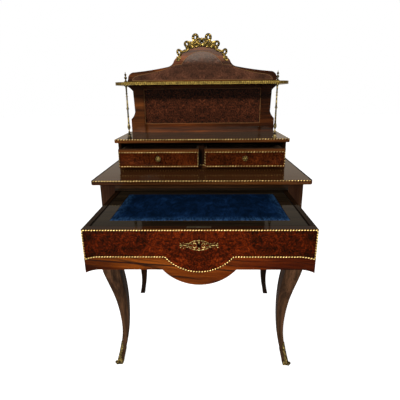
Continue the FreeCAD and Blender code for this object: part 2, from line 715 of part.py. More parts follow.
def small_drawer_box_right():
    """Two sides, a back and a bottom behind the front."""
    front = SMALL_FACE + SMALL_FRONT_THICKNESS
    back = SMALL_END
    top = SMALL_TOP - SMALL_SIDE_DROP
    x0 = SMALL_INNER_EDGE + SMALL_SIDE
    x1 = SMALL_OUTER_EDGE - SMALL_SIDE
    left = block(SMALL_INNER_EDGE, x0, front, back, SMALL_FLOOR, top)
    right = block(x1, SMALL_OUTER_EDGE, front, back, SMALL_FLOOR, top)
    rear = block(x0, x1, back - SMALL_SIDE, back, SMALL_FLOOR, top)
    bottom = block(x0, x1, front, back - SMALL_SIDE, SMALL_FLOOR, SMALL_FLOOR + SMALL_BOTTOM)
    return Part.makeCompound([left, right, rear, bottom])


# ---------------------------------------------------------------- back panel
FOOT_HALF_WIDTH = 303.5
FOOT_TOP = 56.5             # heights here are above the gradin's top
WAIST_HALF_WIDTH = 285.5
WAIST_START = 86.0
WAIST_END = 170.0
WAIST_LEAN = 3.5            # the sides lean out this much up to the shelf
FLARE_HALF_WIDTH = 313.5
SHOULDER_HALF_WIDTH = 306.0
SHOULDER_TOP = 243.5
SHOULDER_CORNER = 26.0
COVE_END = (140.0, 263.0)
ARCH_HALF_WIDTH = 113.5
ARCH_SPRING = 287.0
ARCH_TOP = 339.7
# How far each hollow or swelling bows from its chord, as a share of the chord.
FOOT_BOW = 0.094
FLARE_BOW = 0.058
LONG_COVE_BOW = 0.0135
SHORT_COVE_BOW = 0.142
ARCH_RADIUS = (ARCH_HALF_WIDTH ** 2 + (ARCH_TOP - ARCH_SPRING) ** 2) / (2 * (ARCH_TOP - ARCH_SPRING))
ARCH_CENTRE = ARCH_TOP - ARCH_RADIUS
ARCH_SPREAD = math.degrees(math.asin(ARCH_HALF_WIDTH / ARCH_RADIUS))


def arch_point(radius, degrees):
    """A point on a circle about the arch's centre, measured from the top of the arch."""
    angle = math.radians(degrees)
    return (radius * math.sin(angle), GRADIN_TOP + ARCH_CENTRE + radius * math.cos(angle))


def back_panel_face():
    """Foot, waist, flare up to the shelf, rounded shoulders, coves and the arch."""
    base = GRADIN_TOP

    def at(x, height):
        return (x, base + height)

    flare = at(FLARE_HALF_WIDTH, SHELF_HEIGHT)
    corner_start = at(SHOULDER_HALF_WIDTH, SHOULDER_TOP - SHOULDER_CORNER)
    corner_end = at(SHOULDER_HALF_WIDTH - SHOULDER_CORNER, SHOULDER_TOP)
    corner_middle = at(SHOULDER_HALF_WIDTH - SHOULDER_CORNER * 0.29,
                       SHOULDER_TOP - SHOULDER_CORNER * 0.29)
    right_half = [
        line(at(0, 0), at(FOOT_HALF_WIDTH, 0)),
        line(at(FOOT_HALF_WIDTH, 0), at(FOOT_HALF_WIDTH, FOOT_TOP)),
        bowed(at(FOOT_HALF_WIDTH, FOOT_TOP), at(WAIST_HALF_WIDTH, WAIST_START), FOOT_BOW),
        line(at(WAIST_HALF_WIDTH, WAIST_START), at(WAIST_HALF_WIDTH + WAIST_LEAN, WAIST_END)),
        bowed(at(WAIST_HALF_WIDTH + WAIST_LEAN, WAIST_END), flare, FLARE_BOW),
        line(flare, at(FLARE_HALF_WIDTH, SHELF_HEIGHT + SHELF_THICKNESS)),
        line(at(FLARE_HALF_WIDTH, SHELF_HEIGHT + SHELF_THICKNESS), corner_start),
        arc(corner_start, corner_middle, corner_end),
        bowed(corner_end, at(*COVE_END), LONG_COVE_BOW),
        bowed(at(*COVE_END), at(ARCH_HALF_WIDTH, ARCH_SPRING), SHORT_COVE_BOW),
        arc(at(ARCH_HALF_WIDTH, ARCH_SPRING), arch_point(ARCH_RADIUS, ARCH_SPREAD / 2),
            at(0, ARCH_TOP)),
    ]
    return symmetric_face(right_half)


BURR_HALF_WIDTH = 243.0
BURR_BOTTOM = 37.0
BURR_TOP = 177.5
PEDIMENT_MARGIN = 11.7      # above the shelf, and below the shoulders
PEDIMENT_TOP_MARGIN = 18.9  # below the top of the arch
PEDIMENT_HALF_WIDTH = 290.0
PEDIMENT_ARCH = 84.0        # half chord of its own arch
PEDIMENT_STEP = 108.0       # half width where the arch's steps end
PEDIMENT_SPRING = 271.1     # height of the steps
PEDIMENT_CORNER = 22.0
PEDIMENT_CORNER_BOW = 0.18
PEDIMENT_COVE_BOW = 0.045


def back_panel_burr():
    """Burr panel below the shelf, let into the board's face."""
    face = Part.makePlane(2 * BURR_HALF_WIDTH, BURR_TOP - BURR_BOTTOM,
                          vector(-BURR_HALF_WIDTH, PANEL_FRONT, GRADIN_TOP + BURR_BOTTOM),
                          vector(0, -1, 0), vector(1, 0, 0))
    return face.extrude(vector(0, VENEER, 0))


def pediment_burr():
    """Burr panel above the shelf: an arch with a step at each foot, coves and upright ends."""
    base = GRADIN_TOP

    def at(x, height):
        return (x, base + height)

    floor = SHELF_HEIGHT + SHELF_THICKNESS + PEDIMENT_MARGIN
    foot = at(PEDIMENT_ARCH, PEDIMENT_SPRING)
    step = at(PEDIMENT_STEP, PEDIMENT_SPRING)
    crown = at(0, ARCH_TOP - PEDIMENT_TOP_MARGIN)
    rise = crown[1] - foot[1]
    end_top = at(PEDIMENT_HALF_WIDTH, SHOULDER_TOP - SHOULDER_CORNER)
    bend = at(PEDIMENT_HALF_WIDTH - PEDIMENT_CORNER, SHOULDER_TOP - PEDIMENT_MARGIN)
    radius = (PEDIMENT_ARCH ** 2 + rise ** 2) / (2 * rise)
    part_way = PEDIMENT_ARCH / 2
    on_arch = (part_way, crown[1] - radius + math.sqrt(radius ** 2 - part_way ** 2))
    right_half = [
        line(at(0, floor), at(PEDIMENT_HALF_WIDTH, floor)),
        line(at(PEDIMENT_HALF_WIDTH, floor), end_top),
        bowed(end_top, bend, -PEDIMENT_CORNER_BOW),
        bowed(bend, step, PEDIMENT_COVE_BOW),
        line(step, foot),
        arc(foot, on_arch, crown),
    ]
    return slab(symmetric_face(right_half), PANEL_FRONT, VENEER)


def back_panel():
    board = slab(back_panel_face(), PANEL_FRONT, PANEL_THICKNESS)
    return board.cut(back_panel_burr()).cut(pediment_burr())


# ---------------------------------------------------------------- shelf and its brass
def shelf_outline(inset):
    """Plan of the shelf: straight front, ends swept back to meet the panel."""
    half = SHELF_HALF_WIDTH - inset
    front = SHELF_FRONT + inset
    straight = SHELF_STRAIGHT
    sweep = SHELF_END_SWEEP - inset
    middle_x = straight + (half - straight) * math.sin(math.radians(45))
    middle_y = front + sweep * (1 - math.cos(math.radians(45)))
    points = [vector(0, front, 0), vector(straight, front, 0), vector(middle_x, middle_y, 0),
              vector(half, front + sweep, 0), vector(half, PANEL_FRONT, 0),
              vector(0, PANEL_FRONT, 0)]
    right_half = [
        Part.LineSegment(points[0], points[1]).toShape(),
        Part.Arc(points[1], points[2], points[3]).toShape(),
        Part.LineSegment(points[3], points[4]).toShape(),
        Part.LineSegment(points[4], points[5]).toShape(),
    ]
    return symmetric_face(right_half)


def shelf_slab(inset):
    solid = shelf_outline(inset).extrude(vector(0, 0, SHELF_THICKNESS))
    solid.translate(vector(0, 0, SHELF_BOTTOM))
    return solid


def gallery_shelf():
    return shelf_slab(BAND_THICKNESS)


def shelf_band():
    """Stamped brass band round the front and ends of the shelf."""
    return shelf_slab(0).cut(shelf_slab(BAND_THICKNESS))


def spindle_right():
    """Turned brass column from the gradin's top to the shelf."""
    top = SHELF_HEIGHT
    profile = [
        (9.5, 0), (9.5, 2.0), (4.6, 9.0, 6.0), (8.0, 10.5), (8.0, 13.0), (2.6, 16.0),
        (3.6, 22.0, 4.0), (2.0, 31.0), (5.6, 38.0, 4.8), (3.6, 52.0, 5.4), (2.7, 103.0),
        (4.9, 106.0), (4.9, 108.5), (3.4, 111.0), (2.6, 148.0), (3.8, 149.5), (3.8, 151.5),
        (2.6, 153.0), (2.6, 158.0), (3.8, 159.5), (3.8, 161.0), (2.5, 162.5), (3.2, top - 9.0),
        (7.5, top - 2.5, 4.2), (7.5, top),
    ]
    return turned(profile, vector(SPINDLE_X, SPINDLE_Y, GRADIN_TOP))


def finials():
    """Small turned finials over the two columns."""
    profile = [(7.0, 0), (7.0, 1.5), (2.2, 8.0, 3.4), (2.2, 9.5), (2.2, 18.5, 5.2), (1.6, 20.5),
               (1.6, 28.5, 4.0), (1.1, 30.5), (0.8, 34.5)]
    return both_sides(turned(profile, vector(SPINDLE_X, SPINDLE_Y, SHELF_TOP)))


# ---------------------------------------------------------------- crest
CREST_THICKNESS = 6.0
CREST_OVERLAP = 9.0         # how far the garland covers the panel's face
CREST_RISE = 6.0            # how far it stands over the arch's edge
CREST_SPAN = 43.0           # degrees from the top of the arch to its last curl
# Each ribbon loop: x, height above the arch's top, half width, half height, lean, hole share.
RIBBON_LOOPS = [
    (26.5, 33.0, 13.5, 16.0, -8.0, 0.42),
    (60.0, 7.5, 12.0, 12.5, 20.0, 0.40),
    (91.0, -24.5, 9.5, 14.5, 25.0, 0.34),
]
# Each strip of ribbon: its start, middle and end, as x and height above the arch's top.
RIBBON_STRIPS = [
    ((-1.0, -6.0), (13.0, 5.0), (23.0, 20.0)),
    ((31.0, 21.0), (38.0, 4.0), (53.0, 1.0)),
    ((58.0, -3.0), (57.0, -11.0), (63.0, -18.0)),
    ((66.0, -14.0), (76.0, -20.0), (86.0, -17.0)),
    ((93.0, -35.0), (91.0, -44.0), (101.0, -51.0)),
]
STRIP_WIDTH = 8.5
# Each flower: x, height above the arch's top, radius.
FLOWERS = [(0.0, 11.0, 9.0), (17.0, 12.0, 9.5), (33.0, 9.0, 10.0), (45.0, 0.0, 8.5)]


def crest_loop(x, rise, half_width, half_height, lean, hole):
    """One loop of ribbon: an oval with an eye, leaning outwards."""
    def oval(scale):
        big = max(half_width, half_height) * scale
        small = min(half_width, half_height) * scale
        disc = Part.Face(Part.Wire(Part.Ellipse(vector(0, 0, 0), big, small).toShape()))
        if half_height > half_width:
            disc.rotate(vector(0, 0, 0), vector(0, 0, 1), 90)
        disc.rotate(vector(0, 0, 0), vector(1, 0, 0), 90)
        disc.rotate(vector(0, 0, 0), vector(0, 1, 0), lean)
        return disc
    loop = slab(oval(1.0).cut(oval(hole)), PANEL_FRONT - CREST_THICKNESS, CREST_THICKNESS)
    loop.translate(vector(x, 0, GRADIN_TOP + ARCH_TOP + rise))
    return loop


def crest_strip(start, middle, end):
    """A bowed strip of ribbon between two of the crest's pieces."""
    across = vector(end[0] - start[0], end[1] - start[1], 0)
    across = vector(-across.y, across.x, 0).normalize() * (STRIP_WIDTH / 2)

    def beside(place, side):
        return (place[0] + side * across.x, GRADIN_TOP + ARCH_TOP + place[1] + side * across.y)

    edges = [
        arc(beside(start, 1), beside(middle, 1), beside(end, 1)),
        line(beside(end, 1), beside(end, -1)),
        arc(beside(end, -1), beside(middle, -1), beside(start, -1)),
        line(beside(start, -1), beside(start, 1)),
    ]
    return slab(Part.Face(Part.Wire(edges)), PANEL_FRONT - CREST_THICKNESS, CREST_THICKNESS)


def crest_ribbon():
    """Ribbon that follows the arch, with its loops, in one casting."""
    outer = ARCH_RADIUS + CREST_RISE
    inner = ARCH_RADIUS - CREST_OVERLAP
    right_half = [
        arc(arch_point(outer, 0), arch_point(outer, CREST_SPAN / 2), arch_point(outer, CREST_SPAN)),
        line(arch_point(outer, CREST_SPAN), arch_point(inner, CREST_SPAN)),
        arc(arch_point(inner, CREST_SPAN), arch_point(inner, CREST_SPAN / 2), arch_point(inner, 0)),
    ]
    ribbon = slab(symmetric_face(right_half), PANEL_FRONT - CREST_THICKNESS, CREST_THICKNESS)
    pieces = [crest_loop(*loop) for loop in RIBBON_LOOPS]
    pieces = pieces + [crest_strip(*strip) for strip in RIBBON_STRIPS]
    return ribbon.fuse(pieces + [mirrored(piece) for piece in pieces]).removeSplitter()


def crest_flowers():
    """Roses laid on the ribbon."""
    roses = []
    for x, rise, radius in FLOWERS:
        rose = turned([(radius, 0), (radius * 0.92, radius * 0.3), (radius * 0.2, radius * 0.7,
                                                                     radius * 0.75)],
                      vector(0, 0, 0))
        rose.rotate(vector(0, 0, 0), vector(1, 0, 0), 90)
        rose.translate(vector(x, PANEL_FRONT - CREST_THICKNESS, GRADIN_TOP + ARCH_TOP + rise))
        roses.append(rose)
        if x > 0:
            roses.append(mirrored(rose))
    return roses[0].fuse(roses[1:]).removeSplitter()


# ---------------------------------------------------------------- the whole desk
def build():
    leg = leg_front_right()
    sabot = sabot_front_right()
    pieces = {
        "desk_top": desk_top(),
        "desk_top_trim": desk_top_trim(),
        "leg_front_right": leg,
        "leg_front_left": mirrored(leg),
        "leg_back_right": to_back(leg),
        "leg_back_left": to_back(mirrored(leg)),
        "sabot_right": sabot,
        "sabot_left": mirrored(sabot),
        "apron_right": apron_right(),
        "apron_left": mirrored(apron_right()),
        "apron_back": apron_back(),
        "top_rail": top_rail(),
        "support_rail": support_rail(),
        "drawer_runner_right": drawer_runner_right(),
        "drawer_runner_left": mirrored(drawer_runner_right()),
        "drawer_kickers": drawer_kickers(),
        "drawer_stops": drawer_stops(),
        "gradin_bottom": gradin_bottom(),
        "gradin_side_right": gradin_side_right(),
        "gradin_side_left": mirrored(gradin_side_right()),
        "gradin_divider": gradin_divider(),
        "gradin_back": gradin_back(),
        "gradin_front_rail": gradin_front_rail(),
        "gradin_plinth_trim": gradin_plinth_trim(),
        "gradin_top": gradin_top(),
        "gradin_top_trim": gradin_top_trim(),
        "back_panel": back_panel(),
        "back_panel_burr": back_panel_burr(),
        "pediment_burr": pediment_burr(),
        "gallery_shelf": gallery_shelf(),
        "shelf_band": shelf_band(),
        "spindle_right": spindle_right(),
        "spindle_left": mirrored(spindle_right()),
        "finials": finials(),
        "crest_ribbon": crest_ribbon(),
        "crest_flowers": crest_flowers(),
        "drawer_front": drawer_front(),
        "drawer_front_veneer": drawer_front_veneer(),
        "drawer_front_trim": drawer_front_trim(),
        "drawer_escutcheon": drawer_escutcheon(),
        "drawer_side_right": drawer_side_right(),
        "drawer_side_left": mirrored(drawer_side_right()),
        "drawer_back": drawer_back(),
        "drawer_bottom": drawer_bottom(),
        "board_bearers": board_bearers(),
        "drawer_lock": drawer_lock(),
        "lock_bolt": lock_bolt(),
        "writing_board": writing_board(),
        "writing_velvet": velvet_block(),
    }
    small_drawer = {
        "front": small_drawer_front_right(),
        "veneer": small_drawer_veneer_right(),
        "trim": small_drawer_trim_right(),
        "knob": small_drawer_knob_right(),
        "box": small_drawer_box_right(),
    }
    for name, shape in small_drawer.items():
        pieces["small_" + name + "_right"] = shape
        pieces["small_" + name + "_left"] = mirrored(shape)
    return pieces


def middle_of(pieces):
    """The point on the floor under the middle of the whole desk."""
    boxes = [shape.optimalBoundingBox(True, False) for shape in pieces.values()]
    front = min(box.YMin for box in boxes)
    back = max(box.YMax for box in boxes)
    return vector(0, (front + back) / 2, 0)


def export(pieces, folder="parts"):
    os.makedirs(folder, exist_ok=True)
    origin = middle_of(pieces)
    for name, shape in pieces.items():
        placed = shape.translated(-origin)
        placed.exportStep(os.path.join(folder, name + ".step"))
    print(len(pieces), "pieces, origin at y =", round(origin.y, 3))


export(build())
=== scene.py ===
"""Bonheur du jour: French-polished veneers, gilt mounts and the velvet of the writing board."""

import math

import bpy
import numpy as np
from mathutils import Matrix, Vector


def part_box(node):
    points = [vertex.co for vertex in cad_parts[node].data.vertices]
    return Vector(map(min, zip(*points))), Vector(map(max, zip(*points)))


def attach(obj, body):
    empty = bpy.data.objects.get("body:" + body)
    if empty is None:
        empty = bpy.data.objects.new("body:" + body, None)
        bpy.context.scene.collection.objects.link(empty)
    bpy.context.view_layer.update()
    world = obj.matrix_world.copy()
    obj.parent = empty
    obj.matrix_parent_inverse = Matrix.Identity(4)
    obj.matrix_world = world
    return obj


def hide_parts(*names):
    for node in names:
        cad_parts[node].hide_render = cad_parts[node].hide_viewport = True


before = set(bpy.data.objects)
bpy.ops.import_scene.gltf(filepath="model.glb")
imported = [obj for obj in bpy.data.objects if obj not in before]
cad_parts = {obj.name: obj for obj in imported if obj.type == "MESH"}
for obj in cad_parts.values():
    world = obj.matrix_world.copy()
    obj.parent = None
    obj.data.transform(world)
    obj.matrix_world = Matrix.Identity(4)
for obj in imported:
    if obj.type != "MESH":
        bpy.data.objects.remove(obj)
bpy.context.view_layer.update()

MM = 0.001
FORWARD = np.array([0.0, -1.0, 0.0])
UPWARD = np.array([0.0, 0.0, 1.0])
OUT_AND_UP = 0.7 * (FORWARD + UPWARD)


def corners(node):
    """The low and the high corner of a node's box."""
    low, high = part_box(node)
    return np.array(low), np.array(high)


def set_up(name, data):
    """A new object of the scene, at the origin."""
    made = bpy.data.objects.new(name, data)
    bpy.context.scene.collection.objects.link(made)
    return made


# ------------------------------------------------------------------ finishes
class Mixture:
    """Shader nodes laid out in one tree and joined by socket."""

    def __init__(self, tree):
        self.nodes = tree.nodes
        self.links = tree.links

    def add(self, kind, settings=None, inputs=None):
        """A new node with its settings, fed with sockets or plain values."""
        made = self.nodes.new(kind)
        for name, value in (settings or {}).items():
            setattr(made, name, value)
        for name, value in (inputs or {}).items():
            self.feed(made, name, value)
        return made

    def feed(self, node, name, value):
        """Joins a socket to an input, or sets the input's own value."""
        socket = node.inputs[name]
        if isinstance(value, bpy.types.NodeSocket):
            self.links.new(value, socket)
        else:
            socket.default_value = value

    def math(self, operation, first, second=0.5, third=0.5):
        """One sum; MULTIPLY_ADD gives first * second + third."""
        return self.add("ShaderNodeMath", {"operation": operation},
                        {0: first, 1: second, 2: third}).outputs[0]

    def level(self, value, low, high, to_low=0.0, to_high=1.0):
        """Maps low..high of a value onto to_low..to_high, and holds it there outside."""
        return self.add("ShaderNodeMapRange", {"clamp": True},
                        {"Value": value, "From Min": low, "From Max": high,
                         "To Min": to_low, "To Max": to_high}).outputs[0]

    def blend(self, factor, first, second, mode="MIX"):
        """The first colour where the factor is 0 and the second where it is 1."""
        made = self.add("ShaderNodeMix", {"data_type": "RGBA", "blend_type": mode})
        self.feed(made, 0, factor)
        self.feed(made, 6, first if isinstance(first, bpy.types.NodeSocket) else (*first, 1.0))
        self.feed(made, 7, second if isinstance(second, bpy.types.NodeSocket) else (*second, 1.0))
        return made.outputs[2]


class Finish(Mixture):
    """The finish of one material, mixed around its shader."""

    def __init__(self, name):
        self.material = bpy.data.materials.new(name)
        self.material.use_nodes = True
        super().__init__(self.material.node_tree)
        self.shader = self.nodes["Principled BSDF"]

    def place(self, scale=(1, 1, 1), book_matched=False, shift=(0.0, 0.0, 0.0), turn=(0.0, 0.0, 0.0)):
        """Object coordinates, stretched by `scale`; book-matched ones mirror across x = 0."""
        source = self.add("ShaderNodeTexCoord").outputs["Object"]
        if book_matched:
            parts = self.add("ShaderNodeSeparateXYZ", None, {0: source})
            folded = self.math("ABSOLUTE", parts.outputs[0])
            source = self.add("ShaderNodeCombineXYZ", None,
                              {0: folded, 1: parts.outputs[1], 2: parts.outputs[2]}).outputs[0]
        mapping = self.add("ShaderNodeMapping", None,
                           {"Vector": source, "Scale": scale, "Location": shift, "Rotation": turn})
        return mapping.outputs[0]

    def axis(self, number):
        """One Object coordinate by itself: 0 runs along x, 1 along y and 2 along z."""
        return self.add("ShaderNodeSeparateXYZ", None, {0: self.place()}).outputs[number]

    def warp(self, vector, scale, amount):
        """Pushes a coordinate about by a soft noise, so that figure bends and swirls."""
        swirl = self.add("ShaderNodeTexNoise", None, {"Vector": vector, "Scale": scale, "Detail": 2.0})
        centred = self.add("ShaderNodeVectorMath", {"operation": "SUBTRACT"},
                           {0: swirl.outputs["Color"], 1: (0.5, 0.5, 0.5)}).outputs[0]
        pushed = self.add("ShaderNodeVectorMath", {"operation": "SCALE"},
                          {0: centred, "Scale": amount}).outputs[0]
        return self.add("ShaderNodeVectorMath", {"operation": "ADD"}, {0: vector, 1: pushed}).outputs[0]

    def noise(self, vector, scale, detail=4.0, roughness=0.5, distortion=0.0):
        """Soft random values around 0.5, `scale` lumps to the metre."""
        return self.add("ShaderNodeTexNoise", None,
                        {"Vector": vector, "Scale": scale, "Detail": detail, "Roughness": roughness,
                         "Distortion": distortion}).outputs["Fac"]

    def cells(self, vector, scale):
        """How far it is to the nearest of many scattered points."""
        return self.add("ShaderNodeTexVoronoi", {"feature": "F1"},
                        {"Vector": vector, "Scale": scale}).outputs["Distance"]

    def ramp(self, value, stops):
        """Colour from a value, through stops of (position, (r, g, b))."""
        made = self.add("ShaderNodeValToRGB", None, {"Fac": value})
        elements = made.color_ramp.elements
        while len(elements) < len(stops):
            elements.new(0.5)
        for element, (position, colour) in zip(elements, stops):
            element.position = position
            element.color = (*colour, 1.0)
        return made.outputs["Color"]

    def bump(self, height, distance, strength=1.0):
        """Light that falls as if the surface rose and fell by `distance` with a value."""
        return self.add("ShaderNodeBump", None,
                        {"Height": height, "Distance": distance, "Strength": strength}).outputs[0]

    def set(self, **values):
        """Feeds the shader's inputs by name, with _ for a space."""
        for name, value in values.items():
            self.feed(self.shader, name.replace("_", " "), value)


# Shellac's index of refraction, then the colours of veins, pores, dirt and rubbed nap, then
# lengths in metres, apart from VEIN_WIDTH, which is a share of the noise.
SHELLAC = 1.18
VEIN = (0.010, 0.005, 0.003)
PORE = (0.012, 0.006, 0.004)
SEAM = (0.010, 0.0045, 0.0025)
OLD_DIRT = (0.045, 0.028, 0.016)
RUBBED_NAP = (0.036, 0.100, 0.215)
VEIN_WIDTH = 0.035
SEAM_WAVER = 0.0022
SEAM_CORE = 0.0008
SEAM_REACH = 0.0026
LEAVES_REACH = 0.36
FRONT_RUB = 0.034
SIDE_RUB = 0.026
SKIN = 0.0002
EDGE_FADE = 0.0006


def along_grain(axis, share):
    """Scale that draws a pattern out along one axis: `share` there and 1 across."""
    return tuple(share if name == axis else 1 for name in "XYZ")


def french_polish(finish, strength=0.5, depth=SHELLAC, haze=0.05):
    """Clear shellac coat over wood: mirror-like, faintly rippled, with rubbed patches.

    `strength` is how much of the film is left, `depth` is its index of refraction, so how much it
    mirrors, and `haze` is how rough its surface has become.
    """
    ripple = finish.noise(finish.place(), 22.0, 3.0)
    rubbed = finish.noise(finish.place(), 9.0, 5.0, 0.6)
    finish.set(Roughness=finish.level(rubbed, 0.3, 0.7, 0.30, 0.46))
    finish.shader.inputs["Coat Weight"].default_value = strength
    finish.shader.inputs["Coat Roughness"].default_value = haze
    finish.shader.inputs["Coat IOR"].default_value = depth
    finish.shader.inputs["Specular IOR Level"].default_value = 0.0
    finish.feed(finish.shader, "Coat Normal", finish.bump(ripple, 0.0006, 0.25))


def straight_grained(name, along, tones, streak=0.5, wander=0.012, seed=0.0, polish=(0.5, SHELLAC),
                     painted_shade_sheen_and_patina=None, seam=None, leaves=None):
    """Rosewood: long streaks with the grain, dark veins between them and short pores.

    The tone is 0.75 broad + 0.42 fine noise, both drawn out along the grain; a vein runs where a
    third noise passes through its middle, and pores are the peaks of a short, dense one.
    `painted_shade_sheen_and_patina` holds two heights and a colour: the wood takes that colour from one to
    the other.
    It paints light: painted shade under the shelf, over the drawer opening and on the front legs'
    tops, where patina joins it, and a painted sheen on the top faces of the gradin and the small
    drawers; on the desk top it lightens the top face and on the drawer front it darkens it.
    `seam` is a dark vein across the piece: its height at x = 0 and how much it falls with x.
    `leaves` are tints of the veneer along x, as stops from one end of LEAVES_REACH to the other.
    """
    finish = Finish(name)
    shift = (seed * 1.7, seed * 0.9, seed * 2.3)
    turn = (0.0, -math.atan(seam[1]) if seam else 0.0, 0.0)
    plain = finish.warp(finish.place(shift=shift, turn=turn), 5.0, wander)
    stretched = finish.add("ShaderNodeVectorMath", {"operation": "MULTIPLY"},
                           {0: plain, 1: along_grain(along, 0.05)}).outputs[0]
    broad = finish.noise(stretched, 34.0, 3.0, 0.5, 0.6)
    fine = finish.noise(stretched, 260.0, 5.0, 0.6)
    mixed = finish.math("MULTIPLY_ADD", fine, 0.42, finish.math("MULTIPLY", broad, 0.75))
    colour = finish.ramp(mixed, tones)
    vein_noise = finish.noise(stretched, 17.0, 6.0, 0.6, 1.2)
    off_vein = finish.math("ABSOLUTE", finish.math("SUBTRACT", vein_noise, 0.5))
    colour = finish.blend(finish.level(off_vein, 0.0, VEIN_WIDTH, streak, 0.0), colour, VEIN)
    pores = finish.noise(finish.place(along_grain(along, 0.25), shift=shift), 900.0, 2.0)
    colour = finish.blend(finish.level(pores, 0.60, 0.72, 0.0, 0.55), colour, PORE)
    across = finish.axis(0)
    height = finish.axis(2)
    if leaves:
        tint = finish.ramp(finish.level(across, -LEAVES_REACH, LEAVES_REACH), leaves)
        colour = finish.blend(1.0, colour, tint, "MULTIPLY")
    if seam:
        along_seam = finish.math("MULTIPLY_ADD", across, seam[1], height)
        wavering = finish.math("MULTIPLY_ADD", finish.level(vein_noise, 0.3, 0.7, -1.0, 1.0),
                               SEAM_WAVER, along_seam)
        beside = finish.math("ABSOLUTE", finish.math("SUBTRACT", wavering, seam[0]))
        colour = finish.blend(finish.level(beside, SEAM_CORE, SEAM_REACH, 0.94, 0.0), colour, SEAM)
    # Colour between two heights, made patchy: painted shade and painted sheen, with patina on the leg
    # tops.
    if painted_shade_sheen_and_patina:
        dirt_and_painted_light = finish.level(height, painted_shade_sheen_and_patina[0], painted_shade_sheen_and_patina[1])
        patchy = finish.math("MULTIPLY", dirt_and_painted_light, finish.level(fine, 0.3, 0.7, 0.92, 0.62))
        colour = finish.blend(patchy, colour, painted_shade_sheen_and_patina[2])
    finish.set(Base_Color=colour, Normal=finish.bump(fine, 0.0002, 0.25))
    french_polish(finish, *polish)
    return finish.material


def burr(name, tones, shift=(0.0, 0.0, 0.0), scale=1.0, book_matched=True, polish=(0.4, SHELLAC),
         heart=None, figure=(0.42, 0.28, 0.40)):
    """Burr veneer: drifting flames and clouds of figure, crowded with fine eyes and flecks.

    The tone is the sum of three noises by their shares, and up to 0.10 darker between the eyes.
    `heart` is how far out the lighter middle reaches, fades, and how much lighter it is. `figure`
    is how strong the flames, the clouds and the flecks are.
    """
    finish = Finish(name)
    flat = finish.place(book_matched=book_matched, shift=shift)
    bent = finish.warp(flat, 20.0 * scale, 0.042 / scale)
    flames = finish.noise(bent, 44.0 * scale, 7.0, 0.64, 1.6)
    clouds = finish.noise(flat, 9.0 * scale, 3.0, 0.5, 0.8)
    flecks = finish.noise(bent, 150.0 * scale, 4.0, 0.68, 1.0)
    eyes = finish.cells(bent, 240.0 * scale)
    tone = finish.math("MULTIPLY_ADD", flames, figure[0], 0.5 * (1.10 - sum(figure)))
    tone = finish.math("MULTIPLY_ADD", clouds, figure[1], tone)
    tone = finish.math("MULTIPLY_ADD", flecks, figure[2], tone)
    tone = finish.math("MULTIPLY_ADD", finish.level(eyes, 0.10, 0.75), -0.10, tone)
    if heart:
        away = finish.math("ABSOLUTE", finish.axis(0))
        tone = finish.math("ADD", tone, finish.level(away, heart[0], heart[1], heart[2], 0.0))
    colour = finish.ramp(tone, tones)
    finish.set(Base_Color=colour, Normal=finish.bump(flecks, 0.0001, 0.2))
    french_polish(finish, *polish)
    return finish.material


def bare_wood(name, tones, along="Y", shine=0.3):
    """Waxed wood with short rays and no polish: the tone is 0.6 grain + 0.4 broad noise."""
    finish = Finish(name)
    stretched = finish.place(along_grain(along, 0.07))
    grain = finish.noise(stretched, 120.0, 6.0, 0.62, 0.8)
    broad = finish.noise(stretched, 20.0, 3.0)
    colour = finish.ramp(finish.math("MULTIPLY_ADD", grain, 0.6, finish.math("MULTIPLY", broad, 0.4)),
                         tones)
    dirt_and_painted_light = finish.noise(finish.place(), 11.0, 5.0, 0.65)
    colour = finish.blend(finish.level(dirt_and_painted_light, 0.50, 0.75, 0.0, 0.45), colour, OLD_DIRT)
    finish.set(Base_Color=colour, Roughness=finish.level(grain, 0.3, 0.7, 0.50, 0.72),
               Normal=finish.bump(grain, 0.0003, 0.35))
    finish.shader.inputs["Specular IOR Level"].default_value = shine
    return finish.material


def gilt(name, bright, worn, hollow, roughness=0.30, sunk=None, mottle=70.0, rubbed=(0.34, 0.60),
         lie=(1, 1, 1), chased=0.0):
    """Gilt brass: rubbed bright on its high places, brown where polish never reaches.

    `rubbed` are the values of the mottling between which `worn` turns `bright`, and `sunk` the
    heights of relief between which the `hollow` colour gives way to them.
    `lie` stretches the patches of wear: small along x and y they become light and dark rings,
    patchy wear with painted light and shade of a turned column. `chased`
    is the depth of the small hollows that a punch leaves all over a cast leaf.
    """
    finish = Finish(name)
    patches = finish.noise(finish.place(lie), mottle, 3.0, 0.6)
    colour = finish.ramp(patches, [(rubbed[0], worn), (rubbed[1], bright)])
    if sunk:
        height = finish.add("ShaderNodeAttribute", {"attribute_name": "relief"}).outputs["Fac"]
        colour = finish.blend(finish.level(height, sunk[0], sunk[1], 1.0, 0.0), colour, hollow)
    specks = finish.noise(finish.place(), 900.0, 2.0)
    colour = finish.blend(finish.level(specks, 0.60, 0.75, 0.0, 0.5), colour, hollow)
    relief = finish.bump(specks, 0.0002, 0.2)
    if chased:
        bent = finish.warp(finish.place((1.0, 1.0, 0.6)), 90.0, 0.004)
        cells = finish.cells(bent, 230.0)
        colour = finish.blend(finish.level(cells, 0.30, 0.75, 0.0, 0.9), colour, hollow)
        relief = finish.bump(finish.level(cells, 0.0, 0.8, 1.0, 0.0), chased, 1.0)
    finish.set(Base_Color=colour, Roughness=finish.level(patches, 0.3, 0.7, roughness + 0.14, roughness),
               Normal=relief)
    finish.shader.inputs["Metallic"].default_value = 1.0
    return finish.material


